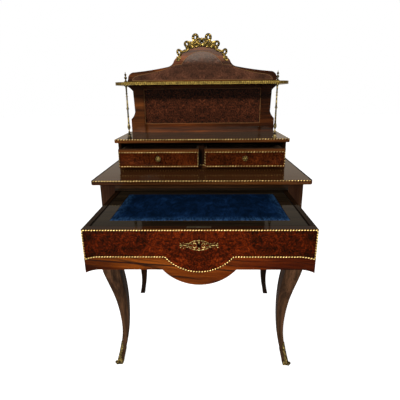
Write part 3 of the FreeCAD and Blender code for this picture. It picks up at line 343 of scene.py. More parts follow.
def velvet_pile(name, low, high):
    """Blue velvet: a nap brushed in patches, rubbed pale along its front edge."""
    finish = Finish(name)
    brushed = finish.noise(finish.place((1.0, 0.40, 1.0)), 42.0, 7.0, 0.66, 1.8)
    broad = finish.noise(finish.place(), 10.0, 3.0, 0.5, 0.8)
    tufts = finish.noise(finish.place((1.0, 0.35, 1.0)), 900.0, 3.0, 0.6)
    forward = finish.axis(1)
    streaks = finish.noise(finish.place((1.0, 0.30, 1.0)), 210.0, 4.0, 0.6, 0.6)
    tone = finish.math("MULTIPLY_ADD", brushed, 0.44, finish.math("MULTIPLY", broad, 0.34))
    tone = finish.math("MULTIPLY_ADD", streaks, 0.16, tone)
    tone = finish.math("MULTIPLY_ADD", tufts, 0.06, tone)
    tone = finish.math("ADD", tone, finish.level(forward, low[1], high[1], 0.035, -0.030))
    colour = finish.ramp(tone, [(0.38, (0.0014, 0.0056, 0.0150)), (0.48, (0.0022, 0.0092, 0.0270)),
                                (0.56, (0.0042, 0.0165, 0.0520)), (0.66, (0.0090, 0.0340, 0.0980))])
    sideways = finish.math("ABSOLUTE", finish.axis(0))
    edge = finish.math("MAXIMUM", finish.level(forward, low[1], low[1] + FRONT_RUB, 1.0, 0.0),
                       finish.level(sideways, high[0] - SIDE_RUB, high[0], 0.0, 0.55))
    edge = finish.math("MULTIPLY", edge, finish.level(streaks, 0.44, 0.60, 0.10, 1.0))
    colour = finish.blend(edge, colour, RUBBED_NAP)
    finish.set(Base_Color=colour, Roughness=1.0, Normal=finish.bump(tufts, 0.0006, 0.6))
    finish.shader.inputs["Specular IOR Level"].default_value = 0.0
    return finish.material


def old_steel(name):
    """Lock steel: dull, scratched, with brown bloom."""
    finish = Finish(name)
    bloom = finish.noise(finish.place(), 160.0, 6.0, 0.65)
    scratch = finish.noise(finish.place((1, 1, 0.08)), 1200.0, 2.0)
    colour = finish.ramp(bloom, [(0.40, (0.11, 0.10, 0.085)), (0.62, (0.06, 0.043, 0.028))])
    finish.set(Base_Color=colour, Roughness=finish.level(scratch, 0.3, 0.7, 0.32, 0.55))
    finish.shader.inputs["Metallic"].default_value = 1.0
    return finish.material


def shaded(tones, share):
    """The same tones, lighter or darker by one share: lit and shaded copies of one wood, painted light and
    painted shade.
    """
    return [(place, tuple(share * part for part in colour)) for place, colour in tones]


def on_top(node, colour):
    """Tints the top face of a node and leaves its sides: two heights, and the colour over them. On the
    gradin top and the small drawer fronts the tint is a painted sheen.
    """
    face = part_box(node)[1][2] - SKIN
    return face - EDGE_FADE, face, colour


ROSEWOOD_TONES = [(0.36, (0.010, 0.0034, 0.0011)), (0.50, (0.030, 0.0092, 0.0024)),
                  (0.62, (0.058, 0.0180, 0.0044)), (0.76, (0.104, 0.0350, 0.0085))]
BAND_TONES = [(0.36, (0.022, 0.0046, 0.0008)), (0.49, (0.062, 0.0125, 0.0016)),
              (0.60, (0.112, 0.0250, 0.0026)), (0.74, (0.215, 0.0560, 0.0060))]
BAND_LEAVES = [(0.04, (0.42, 0.36, 0.36)), (0.19, (0.56, 0.49, 0.44)), (0.24, (0.92, 0.86, 0.70)),
               (0.44, (0.82, 0.72, 0.64)), (0.56, (0.74, 0.60, 0.56)), (0.66, (0.60, 0.38, 0.40)),
               (0.90, (0.54, 0.34, 0.36)), (0.97, (0.16, 0.15, 0.20))]
PANEL_LEAVES = [(0.14, (1.04, 0.94, 0.84)), (0.33, (1.36, 1.02, 0.72)), (0.53, (1.22, 0.96, 0.70)),
                (0.70, (0.62, 0.50, 0.40)), (0.86, (0.40, 0.32, 0.30))]
DARK_TONES = [(0.36, (0.005, 0.0025, 0.0011)), (0.52, (0.012, 0.0054, 0.0022)),
              (0.66, (0.024, 0.0100, 0.0038)), (0.80, (0.042, 0.0170, 0.0062))]
BOARD_TONES = [(0.36, (0.006, 0.0042, 0.0024)), (0.52, (0.012, 0.0080, 0.0044)),
               (0.66, (0.021, 0.0135, 0.0072)), (0.80, (0.036, 0.0220, 0.0110))]
# Rosewood darkened for the back legs, the divider, the aprons and the gradin sides: painted shade under
# the tops and at the back.
POST_TONES_PAINTED_SHADE = [(0.36, (0.0032, 0.0014, 0.0006)), (0.50, (0.0070, 0.0026, 0.0010)),
              (0.62, (0.0130, 0.0046, 0.0016)), (0.76, (0.0260, 0.0090, 0.0030))]
# Front-leg rosewood, lightened and greyed: the wood's tone with a painted sheen.
LEG_TONES_WITH_SHEEN = [(0.36, (0.010, 0.0056, 0.0031)), (0.50, (0.028, 0.0142, 0.0076)),
             (0.62, (0.053, 0.0256, 0.0124)), (0.76, (0.098, 0.0450, 0.0215))]
PANEL_TONES = [(0.34, (0.018, 0.0068, 0.0024)), (0.50, (0.044, 0.0142, 0.0042)),
               (0.62, (0.088, 0.0275, 0.0070)), (0.76, (0.160, 0.0510, 0.0115))]
BURR_TONES = [(0.438, (0.008, 0.0018, 0.0004)), (0.524, (0.034, 0.0042, 0.0006)),
              (0.602, (0.086, 0.0096, 0.0012)), (0.706, (0.190, 0.0280, 0.0036))]
SMALL_TONES = [(0.40, (0.010, 0.0028, 0.0008)), (0.49, (0.036, 0.0072, 0.0016)),
               (0.58, (0.086, 0.0150, 0.0030)), (0.68, (0.210, 0.0420, 0.0080))]
BURR_DARK_TONES = [(0.40, (0.011, 0.0036, 0.0015)), (0.48, (0.030, 0.0082, 0.0032)),
                   (0.56, (0.066, 0.0170, 0.0066)), (0.66, (0.150, 0.0400, 0.0150))]
PEDIMENT_TONES = [(0.40, (0.036, 0.0150, 0.0080)), (0.49, (0.076, 0.0290, 0.0150)),
                  (0.57, (0.120, 0.0450, 0.0230)), (0.68, (0.200, 0.0760, 0.0380))]
OAK_TONES = [(0.30, (0.095, 0.055, 0.026)), (0.55, (0.165, 0.100, 0.052)), (0.78, (0.235, 0.155, 0.085))]


# Height on the top rail below which it is painted near-black: painted shade of the opening the drawer
# slides from.
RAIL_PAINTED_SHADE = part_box("drawer_front")[1][2] - SKIN + 0.0112
RAIL_FADE = 0.0015
SHELF_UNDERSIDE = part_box("gallery_shelf")[0][2] + SKIN

rosewood_long = straight_grained("rosewood_along_x", "X", ROSEWOOD_TONES, polish=(0.5, SHELLAC, 0.12))
# The shelf's underside is painted almost black: painted shade under the shelf.
rosewood_shelf = straight_grained("rosewood_shelf", "X", ROSEWOOD_TONES,
                                  polish=(0.5, SHELLAC, 0.12),
                                  painted_shade_sheen_and_patina=(SHELF_UNDERSIDE + EDGE_FADE, SHELF_UNDERSIDE,
                                           (0.0030, 0.0022, 0.0010)))
# A lighter copy of the rosewood, painted light on the small drawer fronts, with a painted grey highlight
# on their top faces.
rosewood_small = straight_grained("rosewood_small_fronts", "X", shaded(ROSEWOOD_TONES, 1.5), seed=12.0,
                                  painted_shade_sheen_and_patina=on_top("small_front_left", (0.034, 0.0225, 0.0130)))
# The desk top's upper face is coloured lighter than its edges.
rosewood_table = straight_grained("rosewood_desk_top", "X", ROSEWOOD_TONES, 0.3, seed=11.0,
                                  polish=(0.56, SHELLAC, 0.12),
                                  painted_shade_sheen_and_patina=on_top("desk_top", (0.060, 0.0215, 0.0064)))
# The front legs darken towards their tops, under the desk top: painted shade with some patina.
rosewood_tall = straight_grained("rosewood_leg", "Z", LEG_TONES_WITH_SHEEN, seed=2.0, polish=(0.25, SHELLAC),
                                 painted_shade_sheen_and_patina=(0.54, 0.68, (0.014, 0.0036, 0.0010)))
# The back legs, the divider, the aprons and the gradin sides take the darkened tones: painted shade.
rosewood_back = straight_grained("rosewood_back_leg_painted_shade", "Z", POST_TONES_PAINTED_SHADE, seed=2.5)
rosewood_post = straight_grained("rosewood_under_top_painted_shade", "Y", POST_TONES_PAINTED_SHADE, seed=8.0, polish=(0.3, SHELLAC))
# A lighter copy of the rosewood, painted light on the gradin top, whose upper face takes a painted
# grey-brown reflection.
rosewood_top = straight_grained("rosewood_gradin_top", "X", shaded(ROSEWOOD_TONES, 1.4), 0.3, seed=9.0,
                                painted_shade_sheen_and_patina=on_top("gradin_top", (0.080, 0.043, 0.019)))
# The top face of the drawer front is coloured darker and greyer than its front.
rosewood_band = straight_grained("rosewood_drawer_band", "X", BAND_TONES, 0.95, 0.02, 3.0,
                                 painted_shade_sheen_and_patina=on_top("drawer_front", (0.022, 0.011, 0.006)),
                                 polish=(0.35, SHELLAC), seam=(0.5807, 0.0885), leaves=BAND_LEAVES)
rosewood_board = straight_grained("rosewood_writing_board", "X", BOARD_TONES, 0.3, seed=4.0,
                                  polish=(0.34, SHELLAC))
# An almost black copy of the dark rosewood on the recessed gradin rail: painted shadow under the gradin
# top.
rosewood_painted_shadow = straight_grained("rosewood_gradin_rail_painted_shadow", "X", shaded(DARK_TONES, 0.4), 0.3, seed=4.5,
                                  polish=(0.12, SHELLAC))
# A lighter copy of the dark rosewood, painted light on the rail's lit face; below RAIL_PAINTED_SHADE it is
# painted shade.
rosewood_rail = straight_grained("rosewood_rail", "X", shaded(DARK_TONES, 1.35), 0.4, seed=5.0,
                                 painted_shade_sheen_and_patina=(RAIL_PAINTED_SHADE + RAIL_FADE, RAIL_PAINTED_SHADE,
                                          (0.0060, 0.0050, 0.0034)))
rosewood_dull = straight_grained("rosewood_dull", "Y", DARK_TONES, 0.3, seed=7.0, polish=(0.2, SHELLAC))
rosewood_panel = straight_grained("rosewood_back_panel", "X", PANEL_TONES, 0.6, seed=6.0,
                                  polish=(0.40, 1.70, 0.07), leaves=PANEL_LEAVES)
burr_front = burr("burr_drawer_front", BURR_TONES, (0.17, 0.0, 0.55), polish=(0.2, SHELLAC),
                  heart=(0.04, 0.18, 0.052))
burr_small = burr("burr_small_drawers", SMALL_TONES, (0.31, 0.0, 0.47), 1.4, book_matched=False,
                  figure=(0.34, 0.20, 0.56))
burr_panel = burr("burr_back_panel", BURR_DARK_TONES, (0.0, 0.0, 0.83), 1.2, polish=(0.4, 1.70),
                  figure=(0.30, 0.12, 0.68))
burr_pediment = burr("burr_pediment", PEDIMENT_TONES, (0.0, 0.0, 1.37), 1.5, polish=(0.4, 1.92))
oak = bare_wood("oak_drawer_wood", OAK_TONES)
oak_long = bare_wood("oak_along_x", OAK_TONES, "X")
# A dark copy of the oak for the small drawers' boxes: painted shade inside them.
oak_painted_shade = bare_wood("oak_small_drawers_painted_shade", shaded(OAK_TONES, 0.4), shine=0.15)
# Near-black lines along the sides of the desk top and of the writing board: painted shade.
painted_shade_line = bare_wood("dark_line_painted_shade", [(0.30, (0.003, 0.0028, 0.0025)), (0.78, (0.009, 0.008, 0.007))],
                  shine=0.0)
box_wood = bare_wood("boxwood_line", [(0.30, (0.110, 0.052, 0.018)), (0.55, (0.20, 0.100, 0.034)),
                                      (0.78, (0.31, 0.160, 0.060))], "X", 0.1)
gilt_knob = gilt("gilt_knobs", (0.40, 0.285, 0.088), (0.17, 0.120, 0.038), (0.022, 0.014, 0.005),
                 sunk=(0.25, 0.85))
gilt_relief = gilt("gilt_rope", (0.92, 0.68, 0.26), (0.52, 0.36, 0.12), (0.034, 0.018, 0.006),
                   sunk=(0.36, 0.66))
gilt_dim = gilt("gilt_rope_dim", (0.90, 0.66, 0.25), (0.36, 0.26, 0.10), (0.010, 0.006, 0.003),
                sunk=(0.52, 0.80), mottle=34.0, rubbed=(0.42, 0.60))
gilt_mount = gilt("gilt_mount", (0.90, 0.68, 0.25), (0.17, 0.122, 0.040), (0.012, 0.008, 0.003),
                  sunk=(0.40, 0.92), mottle=260.0, rubbed=(0.44, 0.62))
gilt_band = gilt("gilt_stamped_band", (0.178, 0.124, 0.028), (0.070, 0.048, 0.012),
                 (0.020, 0.013, 0.005), 0.34, sunk=(0.05, 0.60), mottle=160.0)
gilt_crest = gilt("gilt_crest", (0.62, 0.42, 0.105), (0.075, 0.056, 0.016), (0.014, 0.010, 0.004),
                  sunk=(0.26, 0.76), mottle=190.0, rubbed=(0.48, 0.64))
# Light and dark rings along the columns: rubbed wear, and painted light and shade of their turned profile.
gilt_aged = gilt("gilt_columns", (0.29, 0.225, 0.095), (0.026, 0.020, 0.010), (0.014, 0.010, 0.005),
                 0.34, mottle=81.0, rubbed=(0.46, 0.63), lie=(0.12, 0.12, 1.0))
dark_bronze = gilt("bronze_shoes", (0.21, 0.155, 0.052), (0.046, 0.033, 0.012),
                   (0.010, 0.007, 0.003), 0.36, mottle=120.0, rubbed=(0.44, 0.62), chased=0.0016)
black_bronze = gilt("bronze_finials", (0.060, 0.046, 0.020), (0.016, 0.012, 0.006),
                    (0.005, 0.004, 0.002), 0.36, mottle=150.0)
lock_brass = gilt("lock_brass", (0.058, 0.043, 0.023), (0.032, 0.023, 0.013), (0.01, 0.007, 0.004),
                  0.45)
steel = old_steel("lock_steel")
velvet = velvet_pile("velvet_blue", *corners("writing_velvet"))


# ------------------------------------------------------------------ surfaces
def winding(points, faces):
    """Signed volume of a closed surface: the sum of v0 . (v1 x v2) / 6 over its triangles."""
    a, b, c, d = (points[faces[:, k]] for k in range(4))
    first = np.einsum("ij,ij->i", a, np.cross(b, c))
    second = np.einsum("ij,ij->i", a, np.cross(c, d))
    return (first.sum() + second.sum()) / 6


def grid_faces(rows, columns, rows_closed):
    """Quads between neighbouring rows and columns of a grid of points that runs round its columns."""
    i, j = np.meshgrid(np.arange(rows if rows_closed else rows - 1), np.arange(columns), indexing="ij")
    i = i.ravel()
    j = j.ravel()
    i_next = (i + 1) % rows
    j_next = (j + 1) % columns
    return np.stack([i * columns + j, i * columns + j_next,
                     i_next * columns + j_next, i_next * columns + j], axis=1)


def surface(name, grids, material, body, smooth=True):
    """One piece from closed grids of shape (rows, columns, 3), with relief heights beside them.

    Every grid runs round its columns; its rows are closed as well, or its two ends are capped.
    """
    points = []
    relief = []
    faces = []
    start = 0
    for grid, height, rows_closed in grids:
        rows, columns = grid.shape[:2]
        flat = grid.reshape(-1, 3)
        quads = grid_faces(rows, columns, rows_closed)
        ends = [] if rows_closed else [np.arange(columns)[::-1], np.arange(columns) + (rows - 1) * columns]
        if winding(flat - flat.mean(axis=0), quads) < 0:
            quads = quads[:, ::-1]
            ends = [end[::-1] for end in ends]
        faces.extend((quads + start).tolist())
        faces.extend((end + start).tolist() for end in ends)
        points.append(flat)
        relief.append(np.broadcast_to(height, (rows, columns)).ravel())
        start += len(flat)
    mesh = bpy.data.meshes.new(name)
    mesh.from_pydata(np.concatenate(points).tolist(), [], faces)
    layer = mesh.attributes.new("relief", "FLOAT", "POINT")
    layer.data.foreach_set("value", np.concatenate(relief).astype(np.float32))
    mesh.polygons.foreach_set("use_smooth", [smooth] * len(mesh.polygons))
    mesh.materials.append(material)
    mesh.update()
    piece = set_up(name, mesh)
    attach(piece, body)
    return piece


def round_angles(count):
    """Angles evenly spaced round a circle, from 0 and short of the full turn."""
    return np.linspace(0, 2 * np.pi, count, endpoint=False)


def unit(vectors):
    """The same directions, each one long."""
    return vectors / np.maximum(np.linalg.norm(vectors, axis=-1, keepdims=True), 1e-12)


def resampled(path, step, closed=False):
    """The same path with its points an even step apart; `closed` joins its end to its start."""
    if closed:
        path = np.vstack([path, path[:1]])
    lengths = np.r_[0.0, np.cumsum(np.linalg.norm(np.diff(path, axis=0), axis=1))]
    count = max(int(round(lengths[-1] / step)), 3)
    places = np.linspace(0.0, lengths[-1], count + 1)
    if closed:
        places = places[:-1]
    evened = np.stack([np.interp(places, lengths, path[:, k]) for k in range(3)], axis=1)
    return evened, places, lengths[-1]


def tangents(path, closed):
    """Direction at each point: from the point before it to the point after it."""
    if closed:
        return unit(np.roll(path, -1, axis=0) - np.roll(path, 1, axis=0))
    return unit(np.gradient(path, axis=0))


def carried(path, out, profile_side, profile_out, closed):
    """A profile carried along a path.

    point = path + side * profile_side + out * profile_out, where side = tangent x out; the
    profiles have one row for each point of the path and one column for each place round it.
    """
    along = tangents(path, closed)
    out = unit(np.broadcast_to(out, path.shape) - along * np.sum(along * out, axis=1, keepdims=True))
    side = np.cross(along, out)
    return (path[:, None, :] + side[:, None, :] * profile_side[..., None]
            + out[:, None, :] * profile_out[..., None])


def bowed(start, bend, end, count):
    """Curve between two points, drawn to a third: (1 - t)^2 start + 2 t (1 - t) bend + t^2 end."""
    t = np.linspace(0, 1, count)[:, None]
    return (1 - t) ** 2 * start + 2 * t * (1 - t) * bend + t ** 2 * end


def corner_rounded(points, radius, steps=5):
    """A closed polygon with rounded corners: each becomes a curve bowed towards it."""
    nearly_straight = -0.995
    rounded = []
    for corner, last, following in zip(points, np.roll(points, 1, axis=0), np.roll(points, -1, axis=0)):
        before = unit(last - corner)
        after = unit(following - corner)
        if np.dot(before, after) < nearly_straight:
            rounded.append(corner[None])
        else:
            rounded.append(bowed(corner + before * radius, corner, corner + after * radius, steps))
    return np.concatenate(rounded)


def twisted_bead(path, out, closed, radius, pitch, waist=0.32):
    """Rope moulding: r = radius (1 - waist + waist cos(2 pi s / pitch + 0.7 cos a)), half sunk."""
    steps_per_turn = 9
    proud = 1.1
    path, places, length = resampled(path, pitch / steps_per_turn, closed)
    turns = round(length / pitch)
    angle = round_angles(10)
    phase = 2 * np.pi * turns * places / length
    strand = np.cos(phase[:, None] + 0.7 * np.cos(angle)[None, :])
    r = radius * (1 - waist + waist * strand)
    grid = carried(path, out, r * np.cos(angle), proud * r * np.sin(angle), closed)
    return grid, 0.5 + 0.5 * strand, closed


def tube(path, radius, relief=1.0):
    """A round bar whose radius follows the path: section = (r cos a, r sin a)."""
    angle = round_angles(8)
    r = np.broadcast_to(radius, len(path))[:, None]
    grid = carried(path, FORWARD, r * np.cos(angle), r * np.sin(angle), False)
    return grid, relief * (0.35 + 0.65 * np.clip(np.sin(angle), 0, 1)), False


# ------------------------------------------------------------------ beads and borders
def on_face(outline, face):
    """An outline of (x, z), laid on the plane y = face."""
    outline = np.asarray(outline, float)
    return np.stack([outline[:, 0], np.full(len(outline), face), outline[:, 1]], axis=1)


def mirrored_outline(right_half):
    """A closed outline from its right half, given from the centre line to the centre line."""
    right_half = np.asarray(right_half, float)
    left_half = right_half[::-1] * np.array([-1.0, 1.0])
    return np.concatenate([right_half, left_half[1:-1]])


def circle_through(half_width, rise, count):
    """Arc of half chord `half_width` and height `rise`: offsets (x, rise of the arc at x)."""
    radius = (half_width ** 2 + rise ** 2) / (2 * rise)
    x = np.linspace(half_width, 0, count)
    return x, np.sqrt(radius ** 2 - x ** 2) - (radius - rise)


ROPE_SUNK = 0.4 * MM
ROPE_CORNER = 2.0 * MM
DEEP_TWIST = 0.40


def drawer_border():
    """Rope round the burr of the main drawer: pointed lower corners and a round lobe.

    From the middle of the top its path runs straight to the corner and down to the tip, sweeps in
    a quadratic curve up to the flat lower edge, and follows an arc of a circle round the lobe.
    """
    high = corners("drawer_front_trim")[1]
    inset = 2.0 * MM
    half = high[0] - inset
    top = high[2] - inset
    flat = high[2] - 72.0 * MM
    tip = flat - 6.5 * MM
    corner_run = 36 * MM
    corner_bend = 20 * MM
    lobe_half = 84.0 * MM
    lobe_drop = 40.5 * MM
    x, rise = circle_through(lobe_half, lobe_drop, 30)
    sweep = bowed(np.array([half, tip]), np.array([half - corner_bend, flat]),
                  np.array([half - corner_run, flat]), 12)
    lobe = np.stack([x, flat - rise], axis=1)
    outline = np.concatenate([[[0, top], [half, top]], sweep, lobe])
    path = corner_rounded(on_face(mirrored_outline(outline), high[1] - ROPE_SUNK), ROPE_CORNER)
    bead = twisted_bead(path, FORWARD, True, 1.8 * MM, 6.8 * MM)
    piece = surface("drawer_border_rope", [bead], gilt_relief, "main_drawer")
    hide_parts("drawer_front_trim")


def small_drawer_border(side):
    """Rope round a small drawer's burr panel: a rectangle inside the plain trim, corners rounded."""
    node = "small_trim_" + side
    low, high = corners(node)
    inset = 1.7 * MM
    x0 = low[0] + inset
    x1 = high[0] - inset
    z0 = low[2] + inset
    z1 = high[2] - inset
    path = on_face([[x0, z0], [x1, z0], [x1, z1], [x0, z1]], high[1] - ROPE_SUNK)
    bead = twisted_bead(corner_rounded(path, ROPE_CORNER), FORWARD, True, 1.35 * MM, 10.0 * MM,
                        DEEP_TWIST)
    piece = surface("small_drawer_rope_" + side, [bead], gilt_dim, "small_drawer_" + side)
    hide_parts(node)


def straight_rope(name, node, out, radius, pitch, behind=None):
    """Rope moulding along x in place of a plain bead, on its middle or `behind` its face."""
    low, high = corners(node)
    y, z = ((low + high) / 2)[1:]
    if behind is not None:
        y = high[1] - behind
    count = 200
    x = np.linspace(low[0] + radius, high[0] - radius, count)
    path = np.stack([x, np.full(count, y), np.full(count, z)], axis=1)
    bead = twisted_bead(path, out, False, radius, pitch, DEEP_TWIST)
    piece = surface(name, [bead], gilt_dim, "carcass")
    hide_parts(node)


def stamped_relief(s, v, pitch):
    """Stamped leaf pattern: heights over s along the band and v from -1 to 1 across it.

    Each pitch holds a pointed leaf with a sunk vein, a bud beside it and a small scroll below;
    each is a bell curve exp(-(distance / width)^2). A plain fillet runs along both edges.
    """
    f = (s / pitch) % 1.0
    pointed = 0.20 * np.sqrt(np.clip(1 - np.abs(v) ** 1.6, 0.02, 1))
    blade = np.exp(-(((f - 0.33) / pointed) ** 2))
    vein = 0.45 * np.exp(-(((f - 0.33) / 0.035) ** 2)) * (1 - v ** 2)
    bud = np.exp(-(((f - 0.80) / 0.12) ** 2) - ((v - 0.35) / 0.30) ** 2)
    scroll = 0.8 * np.exp(-(((f - 0.80) / 0.15) ** 2) - ((v + 0.45) / 0.22) ** 2)
    fillet = 0.9 * np.exp(-(((np.abs(v) - 0.93) / 0.09) ** 2))
    return np.clip(blade - vein + bud + scroll, 0, 1.1) * (np.abs(v) < 0.9) + fillet


def shelf_edge_band():
    """Stamped brass round the shelf: straight front, quarter-round ends, straight returns.

    point = edge + outwards (emboss height(s, v) - sunk) + upwards v half height; two more columns
    of points behind close the band to a thin strip.
    """
    low, high = corners("shelf_band")
    back = corners("gallery_shelf")[1][1]
    bend = 58.0 * MM
    emboss = 1.0 * MM
    sunk = 0.5 * MM
    thickness = 1.9 * MM
    turn = np.linspace(0, np.pi / 2, 24)
    arc_x = high[0] - bend + bend * np.sin(turn)
    arc_y = low[1] + bend * (1 - np.cos(turn))
    right = np.stack([np.r_[arc_x, high[0]], np.r_[arc_y, back]], axis=1)
    outline = np.concatenate([right[::-1] * [-1, 1], right])
    middle = np.full(len(outline), (low[2] + high[2]) / 2)
    path, s = resampled(np.stack([outline[:, 0], outline[:, 1], middle], axis=1), 0.8 * MM)[:2]
    v = np.linspace(-1, 1, 15)
    half_height = (high[2] - low[2]) / 2
    height = stamped_relief(s[:, None], v[None, :], 7.5 * MM)
    out = np.cross(tangents(path, False), UPWARD)
    face = path[:, None, :] + out[:, None, :] * (height * emboss - sunk)[..., None]
    face[..., 2] += v * half_height
    behind = path[:, None, :] - out[:, None, :] * thickness * np.ones((1, 2, 1))
    behind[..., 2] += np.array([1.0, -1.0]) * half_height
    grid = np.concatenate([face, behind], axis=1)
    relief = np.concatenate([height, np.zeros((len(path), 2))], axis=1)
    piece = surface("shelf_stamped_band", [(grid, relief, False)], gilt_band, "carcass")
    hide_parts("shelf_band")


# ------------------------------------------------------------------ stringing
def inlaid_line(name, path, out, half_width, body, closed=False, material=None):
    """A thin flat line let into the veneer and barely proud of it: its profile is a slim rectangle."""
    side = np.array([-1.0, -1.0, 1.0, 1.0]) * half_width
    lift = np.array([-0.4, 0.15, 0.15, -0.4]) * MM
    ones = np.ones((len(path), 1))
    grid = carried(path, out, ones * side, ones * lift, closed)
    return surface(name, [(grid, 1.0, closed)], material or box_wood, body, smooth=False)


def straight_run(start, end):
    """Three points in a line from start to end."""
    return np.linspace(start, end, 3)


def panel_stringing():
    """Light lines round the lower panel and round the pediment's stepped arch.

    The arch is a circle's arc over a half chord; from its foot the line steps out and falls along
    the cove's points to the floor of the pediment.
    """
    low, high = corners("back_panel_burr")
    face = low[1]
    half_width = 0.7 * MM
    frame_line = on_face([[low[0], low[2]], [high[0], low[2]], [high[0], high[2]], [low[0], high[2]]],
                         face)
    inlaid_line("lower_panel_line", corner_rounded(frame_line, 0.6 * MM, 3), FORWARD, half_width,
                "carcass", closed=True)
    top = corners("back_panel")[1][2] - 18.9 * MM
    floor = corners("gallery_shelf")[1][2] + 11.5 * MM
    arch_half = 84.0 * MM
    arch_rise = 49.7 * MM
    x, rise = circle_through(arch_half, arch_rise, 26)
    arch = np.stack([x, top - arch_rise + rise], axis=1)[::-1]
    cove = np.array([[108.0, -49.7], [135.0, -60.5], [168.0, -71.9], [225.0, -83.4],
                     [262.0, -89.0], [277.0, -94.5], [286.0, -103.0], [289.5, -108.7]]) * MM
    cove[:, 1] += top
    cove[-1, 1] = floor
    outline = np.concatenate([arch, cove, [[0.0, floor]]])
    path = resampled(on_face(mirrored_outline(outline), face), 2.0 * MM, True)[0]
    inlaid_line("pediment_line", path, FORWARD, half_width, "carcass", closed=True)


def desk_top_edges():
    """Dark line down each side of the desk top, painted shade where its moulded edge rolls over."""
    low, high = corners("desk_top")
    inset = 2.6 * MM
    short = 4.0 * MM
    for side, x in (("left", low[0] + inset), ("right", high[0] - inset)):
        path = straight_run((x, low[1] + short, high[2]), (x, high[1] - short, high[2]))
        inlaid_line("desk_top_painted_shade_edge_" + side, path, UPWARD, 2.3 * MM, "carcass", material=painted_shade_line)


# ------------------------------------------------------------------ velvet
def velvet_sheet():
    """Velvet glued into the sunk board: a thin sheet, faintly puckered, edges pressed down.

    Over the seat it stands 0.55 + 0.45 e + 0.12 p e mm, where e rises from 0 at the rim to 1 at
    `pressed` mm in from it, and p is a sum of products of sines. A gilt fillet lies before it, and
    the board's dark lines beside it are painted shade along the gaps at the board's sides.
    """
    low, high = corners("writing_velvet")
    wide = 462
    deep = 240
    pressed = 3.0
    side_inset = 1.5 * MM
    front_short = 1.0 * MM
    back_short = 4.0 * MM
    u, w = np.meshgrid(np.linspace(0, 1, 140), np.linspace(0, 1, 80))
    edge = np.clip(np.minimum(np.minimum(u, 1 - u) * wide, np.minimum(w, 1 - w) * deep) / pressed, 0, 1)
    pucker = (np.sin(9.1 * u + 2.0 * np.sin(4.0 * w)) * np.sin(6.3 * w + 1.4 * np.sin(5 * u))
              + 0.6 * np.sin(21.0 * u + 3.0) * np.sin(15.0 * w + 1.0))
    top = low[2] + (0.55 + 0.45 * edge + 0.12 * pucker * edge) * MM
    x, y = np.meshgrid(np.linspace(low[0], high[0], 140), np.linspace(low[1], high[1], 80))
    over = np.stack([x, y, top], axis=2)
    under = over[:, ::-1].copy()
    under[..., 2] = low[2] + 0.05 * MM
    grid = np.concatenate([over, under], axis=1)
    piece = surface("velvet_sheet", [(grid, 0.5, False)], velvet, "writing_board")
    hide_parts("writing_velvet")
    board_top = corners("writing_board")[1][2]
    path = straight_run((low[0], low[1], board_top), (high[0], low[1], board_top))
    inlaid_line("velvet_fillet", path, UPWARD, 0.8 * MM, "writing_board", material=gilt_aged)
    low, high = corners("writing_board")
    # Dark lines down the board's sides: painted shade beside its gaps.
    for side, x in (("left", low[0] + side_inset), ("right", high[0] - side_inset)):
        path = straight_run((x, low[1] + front_short, high[2]), (x, high[1] - back_short, high[2]))
        inlaid_line("board_painted_shade_line_" + side, path, UPWARD, 1.2 * MM, "writing_board",
                    material=painted_shade_line)


# ------------------------------------------------------------------ scrolls and leaves
def smooth_curve(points, step=0.5):
    """Catmull-Rom curve through points given in millimetres, returned in metres.

    Between b and c, with a before and d after them, its place at share t is half of
    2 b + (c - a) t + (2 a - 5 b + 4 c - d) t^2 + (3 b - a - 3 c + d) t^3.
    """
    p = np.array(points, float)
    p = np.vstack([2 * p[0] - p[1], p, 2 * p[-1] - p[-2]])
    t = np.linspace(0, 1, 12, endpoint=False)[:, None]
    pieces = []
    for a, b, c, d in zip(p[:-3], p[1:-2], p[2:-1], p[3:]):
        pieces.append(0.5 * ((2 * b) + (c - a) * t + (2 * a - 5 * b + 4 * c - d) * t ** 2
                             + (3 * b - a - 3 * c + d) * t ** 3))
    pieces.append(p[-2:-1])
    return resampled(np.concatenate(pieces) * MM, step * MM)[0]


def tapering(count, thin, thick, where=0.4):
    """Radius along a bar: thin + (thick - thin) exp(-((t - where) / 0.33)^2) at share t of it."""
    t = np.linspace(0, 1, count)
    return (thin + (thick - thin) * np.exp(-(((t - where) / 0.33) ** 2))) * MM


def shifted(grids, offset):
    """The same grids, carried along by an offset."""
    return [(grid + offset, height, closed) for grid, height, closed in grids]


def mirrored_grids(grids):
    """The same closed grids on the other side of x = 0."""
    return [(grid * np.array([-1.0, 1.0, 1.0]), height, closed) for grid, height, closed in grids]


def leaf(root, tip, width, thickness, lobes=3.0, arch=0.0):
    """A cast leaf between two points in millimetres: pointed, lobed, with a sunk midrib.

    half width = width sin(pi u)^0.7 (1 + 0.22 cos(2 pi lobes u)); its face bulges on both sides
    of the midrib and the whole leaf may arch away from its seat.
    """
    root = np.array(root, float) * MM
    tip = np.array(tip, float) * MM
    u = np.linspace(0.0, 1.0, 22)[:, None]
    a = round_angles(14)[None, :]
    side = np.cross(unit(tip - root), FORWARD)
    half = width * MM * np.sin(np.pi * np.clip(u, 0.015, 0.985)) ** 0.7
    half = half * (1 + 0.22 * np.cos(2 * np.pi * lobes * u))
    face = np.sin(a)
    across = half * np.cos(a)
    height = thickness * MM * (face * (0.55 + 0.45 * np.abs(np.cos(a))) + 0.25)
    spine = root + (tip - root) * u + FORWARD * (arch * MM * np.sin(np.pi * u))
    grid = spine[:, None, :] + side * across[..., None] + FORWARD * height[..., None]
    relief = np.clip(0.35 + 0.65 * face * (0.4 + 0.6 * np.abs(np.cos(a))), 0, 1)
    return grid, relief, False


